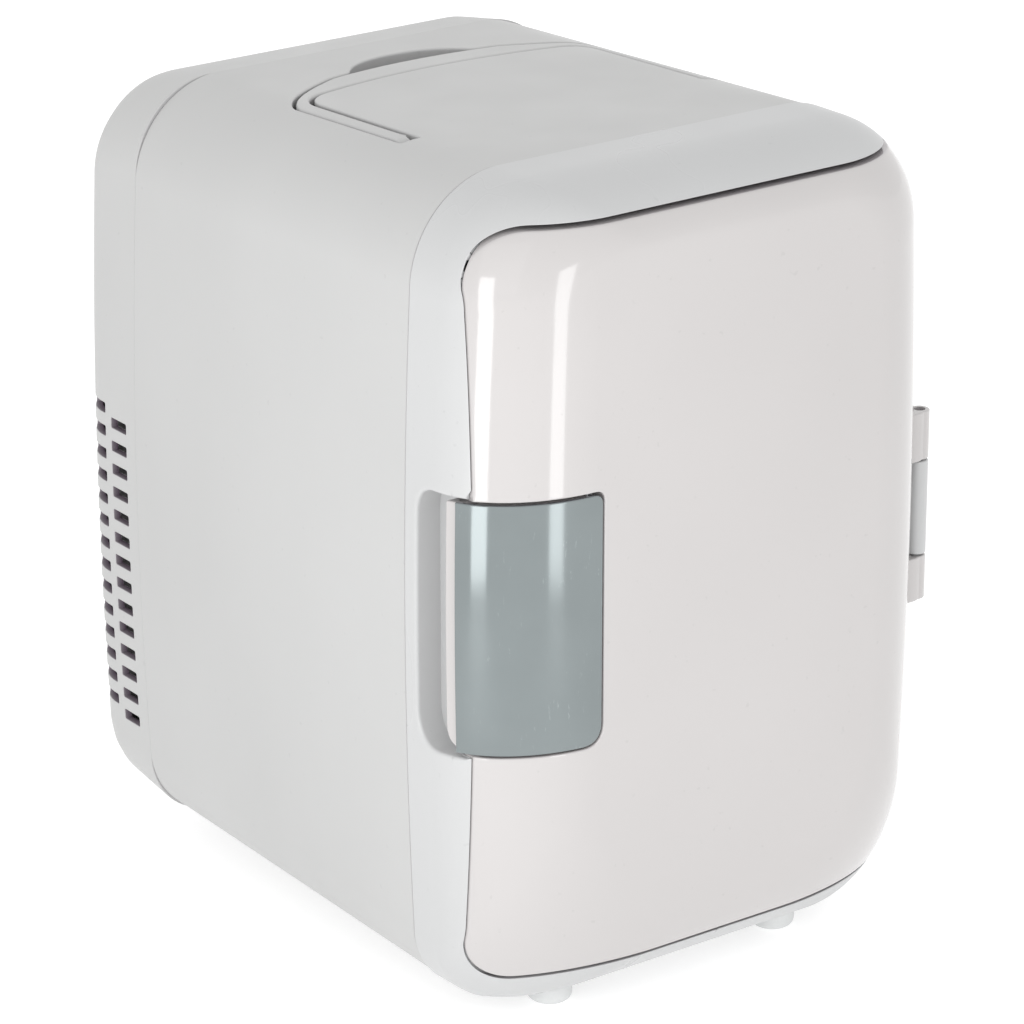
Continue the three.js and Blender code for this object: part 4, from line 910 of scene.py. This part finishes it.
# ---------------------------------------------------------------- materials
class Nodes:
    """One material's node tree."""

    def __init__(self, name):
        self.material = bpy.data.materials.new(name)
        self.material.use_nodes = True
        self.tree = self.material.node_tree
        self.shader = self.tree.nodes["Principled BSDF"]
        self.place = self.tree.nodes.new("ShaderNodeTexCoord").outputs["Object"]

    def node(self, kind, **inputs):
        made = self.tree.nodes.new(kind)
        for key, value in inputs.items():
            socket = made.inputs[key.replace("_", " ")] if key.replace("_", " ") in made.inputs else None
            if socket is None:
                setattr(made, key, value)
            elif hasattr(value, "is_linked"):
                self.tree.links.new(value, socket)
            else:
                socket.default_value = value
        return made

    def noise(self, scale, detail=3.0, stretch=None, rough=0.5):
        place = self.place
        if stretch:
            mapping = self.node("ShaderNodeMapping", Vector=place, Scale=stretch)
            place = mapping.outputs["Vector"]
        made = self.node("ShaderNodeTexNoise", Vector=place, Scale=scale, Detail=detail, Roughness=rough)
        return made.outputs["Fac"]

    def range(self, value, low, high, to_low, to_high):
        made = self.tree.nodes.new("ShaderNodeMapRange")
        self.tree.links.new(value, made.inputs["Value"])
        for key, number in (("From Min", low), ("From Max", high), ("To Min", to_low), ("To Max", to_high)):
            made.inputs[key].default_value = number
        return made.outputs["Result"]

    def mix(self, factor, a, b):
        made = self.tree.nodes.new("ShaderNodeMix")
        made.data_type = "RGBA"
        for socket, value in ((made.inputs[0], factor), (made.inputs[6], a), (made.inputs[7], b)):
            if hasattr(value, "is_linked"):
                self.tree.links.new(value, socket)
            else:
                socket.default_value = (*value, 1.0)
        return made.outputs[2]

    def bump(self, height, strength, distance):
        made = self.tree.nodes.new("ShaderNodeBump")
        made.inputs["Strength"].default_value = strength
        made.inputs["Distance"].default_value = distance
        self.tree.links.new(height, made.inputs["Height"])
        return made.outputs["Normal"]

    def link(self, value, name):
        self.tree.links.new(value, self.shader.inputs[name])

    def mark(self, title):
        made = self.tree.nodes.new("ShaderNodeAttribute")
        made.attribute_name = title
        return made.outputs["Fac"]


def tinted(colour, factor):
    return tuple(min(1.0, c * factor) for c in colour)


def plastic(name, colour, roughness, grain, grain_scale=1600.0, spread=0.025, coat=0.0):
    """Moulded plastic: cloudy colour, uneven polish, fine grain, lighter rounded edges and painted shade on
    the walls of each gap.
    """
    n = Nodes(name)
    cloud = n.range(n.noise(9.0, 2.0), 0.2, 0.8, 0.0, 1.0)
    base = n.mix(cloud, tinted(colour, 1 - spread * 1.6), tinted(colour, 1 + spread))
    specks = n.range(n.noise(420.0, 1.0), 0.74, 0.80, 0.0, 0.22)
    base = n.mix(specks, base, tinted(colour, 0.72))
    # Lighter on the rounded edges, by the edge mark.
    base = n.mix(n.range(n.mark("edge"), 0.0, 1.0, 0.0, 0.35), base, tinted(colour, 1.05))
    # Painted shade: the gap mark darkens the walls of gaps, seams and slots towards a dark purple-grey.
    base = n.mix(n.mark("gap"), base, tinted(PAINTED_GAP_SHADE, 0.15))
    n.link(base, "Base Color")
    smear = n.noise(26.0, 2.0, stretch=(1.0, 1.0, 0.35), rough=0.6)
    n.link(n.range(smear, 0.15, 0.85, roughness * 0.75, roughness * 1.3), "Roughness")
    n.link(n.bump(n.noise(grain_scale, 2.0), 1.0, grain * 1e-5), "Normal")
    n.shader.inputs["IOR"].default_value = 1.48
    if coat:
        n.shader.inputs["Coat Weight"].default_value = coat
        n.shader.inputs["Coat Roughness"].default_value = 0.04
    return n.material


def metal(name, colour, roughness, brushed=(1, 1, 1), metallic=1.0):
    """Metal with fine streaks, scratches and uneven polish."""
    n = Nodes(name)
    cloud = n.noise(40.0, 4.0)
    streak = n.noise(300.0, 3.0, stretch=brushed)
    base = n.mix(n.range(cloud, 0.3, 0.7, 0.0, 1.0), tinted(colour, 0.93), tinted(colour, 1.05))
    fine = n.range(n.noise(700.0, 2.0, stretch=(0.08, 0.08, 1.0)), 0.66, 0.74, 0.0, 0.3)
    base = n.mix(fine, base, tinted(colour, 1.3))
    n.link(base, "Base Color")
    n.link(n.range(streak, 0.3, 0.7, roughness * 0.8, roughness * 1.25), "Roughness")
    n.link(n.bump(streak, 0.5, 6e-6), "Normal")
    n.shader.inputs["Metallic"].default_value = metallic
    return n.material


def plated(name, colour, roughness):
    """Satin silver plate: smooth, faintly blotched, with a few fine upright scuffs."""
    n = Nodes(name)
    cloud = n.range(n.noise(34.0, 3.0), 0.3, 0.7, 0.0, 1.0)
    base = n.mix(cloud, tinted(colour, 0.95), tinted(colour, 1.04))
    patch = n.range(n.noise(70.0, 2.0), 0.52, 0.62, 0.0, 1.0)
    scuff = n.range(n.noise(900.0, 3.0, stretch=(1.0, 1.0, 0.22), rough=0.7), 0.62, 0.70, 0.0, 0.5)
    seen = n.node("ShaderNodeMath", operation="MULTIPLY")
    n.tree.links.new(patch, seen.inputs[0])
    n.tree.links.new(scuff, seen.inputs[1])
    base = n.mix(seen.outputs["Value"], base, tinted(colour, 1.7))
    # Painted shade on the plate's edge walls, by the gap mark.
    base = n.mix(n.mark("gap"), base, tinted(PAINTED_GAP_SHADE, 0.2))
    n.link(base, "Base Color")
    n.link(n.range(cloud, 0.0, 1.0, roughness * 0.85, roughness * 1.2), "Roughness")
    n.link(n.bump(n.noise(60.0, 2.0), 0.25, 6e-5), "Normal")
    n.shader.inputs["Metallic"].default_value = 0.4
    return n.material


def soft(name, colour, roughness, grain_scale, depth, spread=0.06):
    """Foam, rubber or ceramic: mottled and pitted, with a dry surface."""
    n = Nodes(name)
    cell = n.node("ShaderNodeTexVoronoi", Vector=n.place, Scale=grain_scale).outputs["Distance"]
    cloud = n.range(n.noise(60.0, 4.0), 0.3, 0.7, 0.0, 1.0)
    n.link(n.mix(cloud, tinted(colour, 1 - spread), tinted(colour, 1 + spread)), "Base Color")
    n.link(n.range(cell, 0.0, 0.8, roughness * 0.92, roughness), "Roughness")
    n.link(n.bump(cell, 0.8, depth), "Normal")
    return n.material


def lens(name, colour):
    """Clear coloured plastic over a lamp."""
    n = Nodes(name)
    n.link(n.mix(n.range(n.noise(300.0), 0.3, 0.7, 0, 1), tinted(colour, 0.8), colour), "Base Color")
    n.link(n.range(n.noise(900.0), 0.3, 0.7, 0.08, 0.16), "Roughness")
    n.link(n.bump(n.noise(1200.0), 0.6, 4e-6), "Normal")
    n.shader.inputs["Coat Weight"].default_value = 0.6
    return n.material


MATERIALS = {
    "shell_white": plastic("shell plastic", (0.475, 0.476, 0.473), 0.42, grain=1.6),
    "frame_white": plastic("frame plastic", (0.492, 0.496, 0.498), 0.30, grain=0.9),
    "door_white": plastic("door plastic", (0.487, 0.470, 0.466), 0.12, grain=0.15, coat=0.5),
    "latch_silver": plated("latch silver", (0.205, 0.232, 0.236), 0.11),
    "liner_grey": plastic("liner plastic", (0.62, 0.645, 0.66), 0.38, grain=1.2),
    "foam": soft("foam beads", (0.86, 0.85, 0.80), 0.95, 420.0, 3e-4),
    "rubber": soft("foot and seal", (0.62, 0.63, 0.63), 0.6, 1500.0, 3e-5),
    "aluminium": metal("aluminium", (0.62, 0.64, 0.66), 0.34, brushed=(1.0, 0.1, 0.1)),
    "steel": metal("steel", (0.42, 0.43, 0.45), 0.3),
    "ceramic": soft("ceramic", (0.84, 0.82, 0.78), 0.6, 1800.0, 1e-5, 0.03),
    "black": plastic("black plastic", (0.018, 0.018, 0.02), 0.42, grain=1.2, spread=0.15),
    "board": plastic("board", (0.03, 0.16, 0.07), 0.38, grain=2.0, grain_scale=900.0, spread=0.12),
    "coil": metal("coil wire", (0.72, 0.34, 0.1), 0.4, brushed=(0.05, 1.0, 1.0), metallic=0.5),
    "red_lens": lens("red lens", (0.55, 0.04, 0.03)),
    "green_lens": lens("green lens", (0.05, 0.42, 0.12)),
}


NODE_SLOTS = {
    "shell_white": "outer_shell rear_cover carry_handle",
    "frame_white": "front_frame",
    "door_white": "door_panel latch_lever",
    "latch_silver": "latch_plate",
    "liner_grey": "inner_liner shelf door_liner door_rail",
    "foam": "foam_insulation door_foam",
    "rubber": "foot_front_left foot_front_right foot_rear_left foot_rear_right door_gasket",
    "aluminium": "cold_plate hot_heatsink",
    "ceramic": "peltier_module",
    "black": "fan_frame fan_rotor mains_inlet low_voltage_inlet switch_housing mode_rocker"
             " input_capacitor output_capacitor",
    "board": "power_board",
    "coil": "transformer",
    "red_lens": "lamp_heating",
    "green_lens": "lamp_cooling",
}


def dress_cad_nodes():
    """Every CAD node still shown takes the material of its slot in the record."""
    slots = {}
    for slot, names in NODE_SLOTS.items():
        for name in names.split():
            slots[name] = slot
    for name, obj in NODES.items():
        obj.data.materials.clear()
        obj.data.materials.append(MATERIALS[slots.get(name, "steel")])


# ---------------------------------------------------------------- stage, lights, camera
def make_stage():
    mesh = bpy.data.meshes.new("floor")
    size = 9.0
    corners = [(-size, -size, 0), (size, -size, 0), (size, size, 0), (-size, size, 0)]
    mesh.from_pydata(corners, [], [(0, 1, 2, 3)])
    floor = bpy.data.objects.new("floor", mesh)
    bpy.context.scene.collection.objects.link(floor)
    n = Nodes("floor")
    n.link(n.mix(n.noise(3.0), (0.60, 0.60, 0.60), (0.63, 0.63, 0.63)), "Base Color")
    n.shader.inputs["Emission Color"].default_value = (1.0, 1.0, 1.0, 1.0)
    n.shader.inputs["Emission Strength"].default_value = 0.55
    n.shader.inputs["Roughness"].default_value = 0.8
    n.shader.inputs["Specular IOR Level"].default_value = 0.2
    mesh.materials.append(n.material)


def area_light(name, place, target, width, height, power):
    data = bpy.data.lights.new(name, "AREA")
    data.shape = "RECTANGLE"
    data.size, data.size_y = width, height
    data.energy = power
    obj = bpy.data.objects.new(name, data)
    obj.location = place
    direction = Vector(target) - Vector(place)
    obj.rotation_euler = direction.to_track_quat("-Z", "Y").to_euler()
    bpy.context.scene.collection.objects.link(obj)


def make_light():
    """An even white tent, a soft light from the left, and two upright strips that show in the door's roll."""
    scene = bpy.context.scene
    scene.view_settings.view_transform = "Standard"
    world = bpy.data.worlds.new("studio")
    scene.world = world
    world.use_nodes = True
    world.node_tree.nodes["Background"].inputs["Color"].default_value = (1.0, 1.0, 1.0, 1.0)
    world.node_tree.nodes["Background"].inputs["Strength"].default_value = 1.05
    area_light("side", (-2.0, -1.6, 1.3), (0, 0, 0.12), 2.2, 2.2, 5)
    area_light("strip left", (-0.400, -0.262, 0.175), (-0.084, -0.0985, 0.175), 0.115, 0.325, 0.5)
    area_light("strip front", (-0.036, -0.457, 0.150), (-0.066, -0.1085, 0.150), 0.066, 0.275, 0.2)


def make_camera():
    data = bpy.data.cameras.new("camera")
    data.sensor_width = 36
    data.lens = 174.7
    data.clip_start, data.clip_end = 0.05, 50
    camera = bpy.data.objects.new("camera", data)
    camera.location = (-0.8809, -1.1628, 0.6652)
    camera.rotation_euler = (math.radians(69.59), 0, math.radians(-37.13))
    bpy.context.scene.collection.objects.link(camera)
    bpy.context.scene.camera = camera


dress_cad_nodes()
make_frame(MATERIALS["frame_white"])
make_door(MATERIALS["door_white"])
make_latch(MATERIALS["latch_silver"], MATERIALS["door_white"])
make_shell(MATERIALS["shell_white"])
make_handle(MATERIALS["shell_white"])
make_cover(MATERIALS["shell_white"])
make_feet(MATERIALS["rubber"])
make_stage()
make_light()
make_camera()
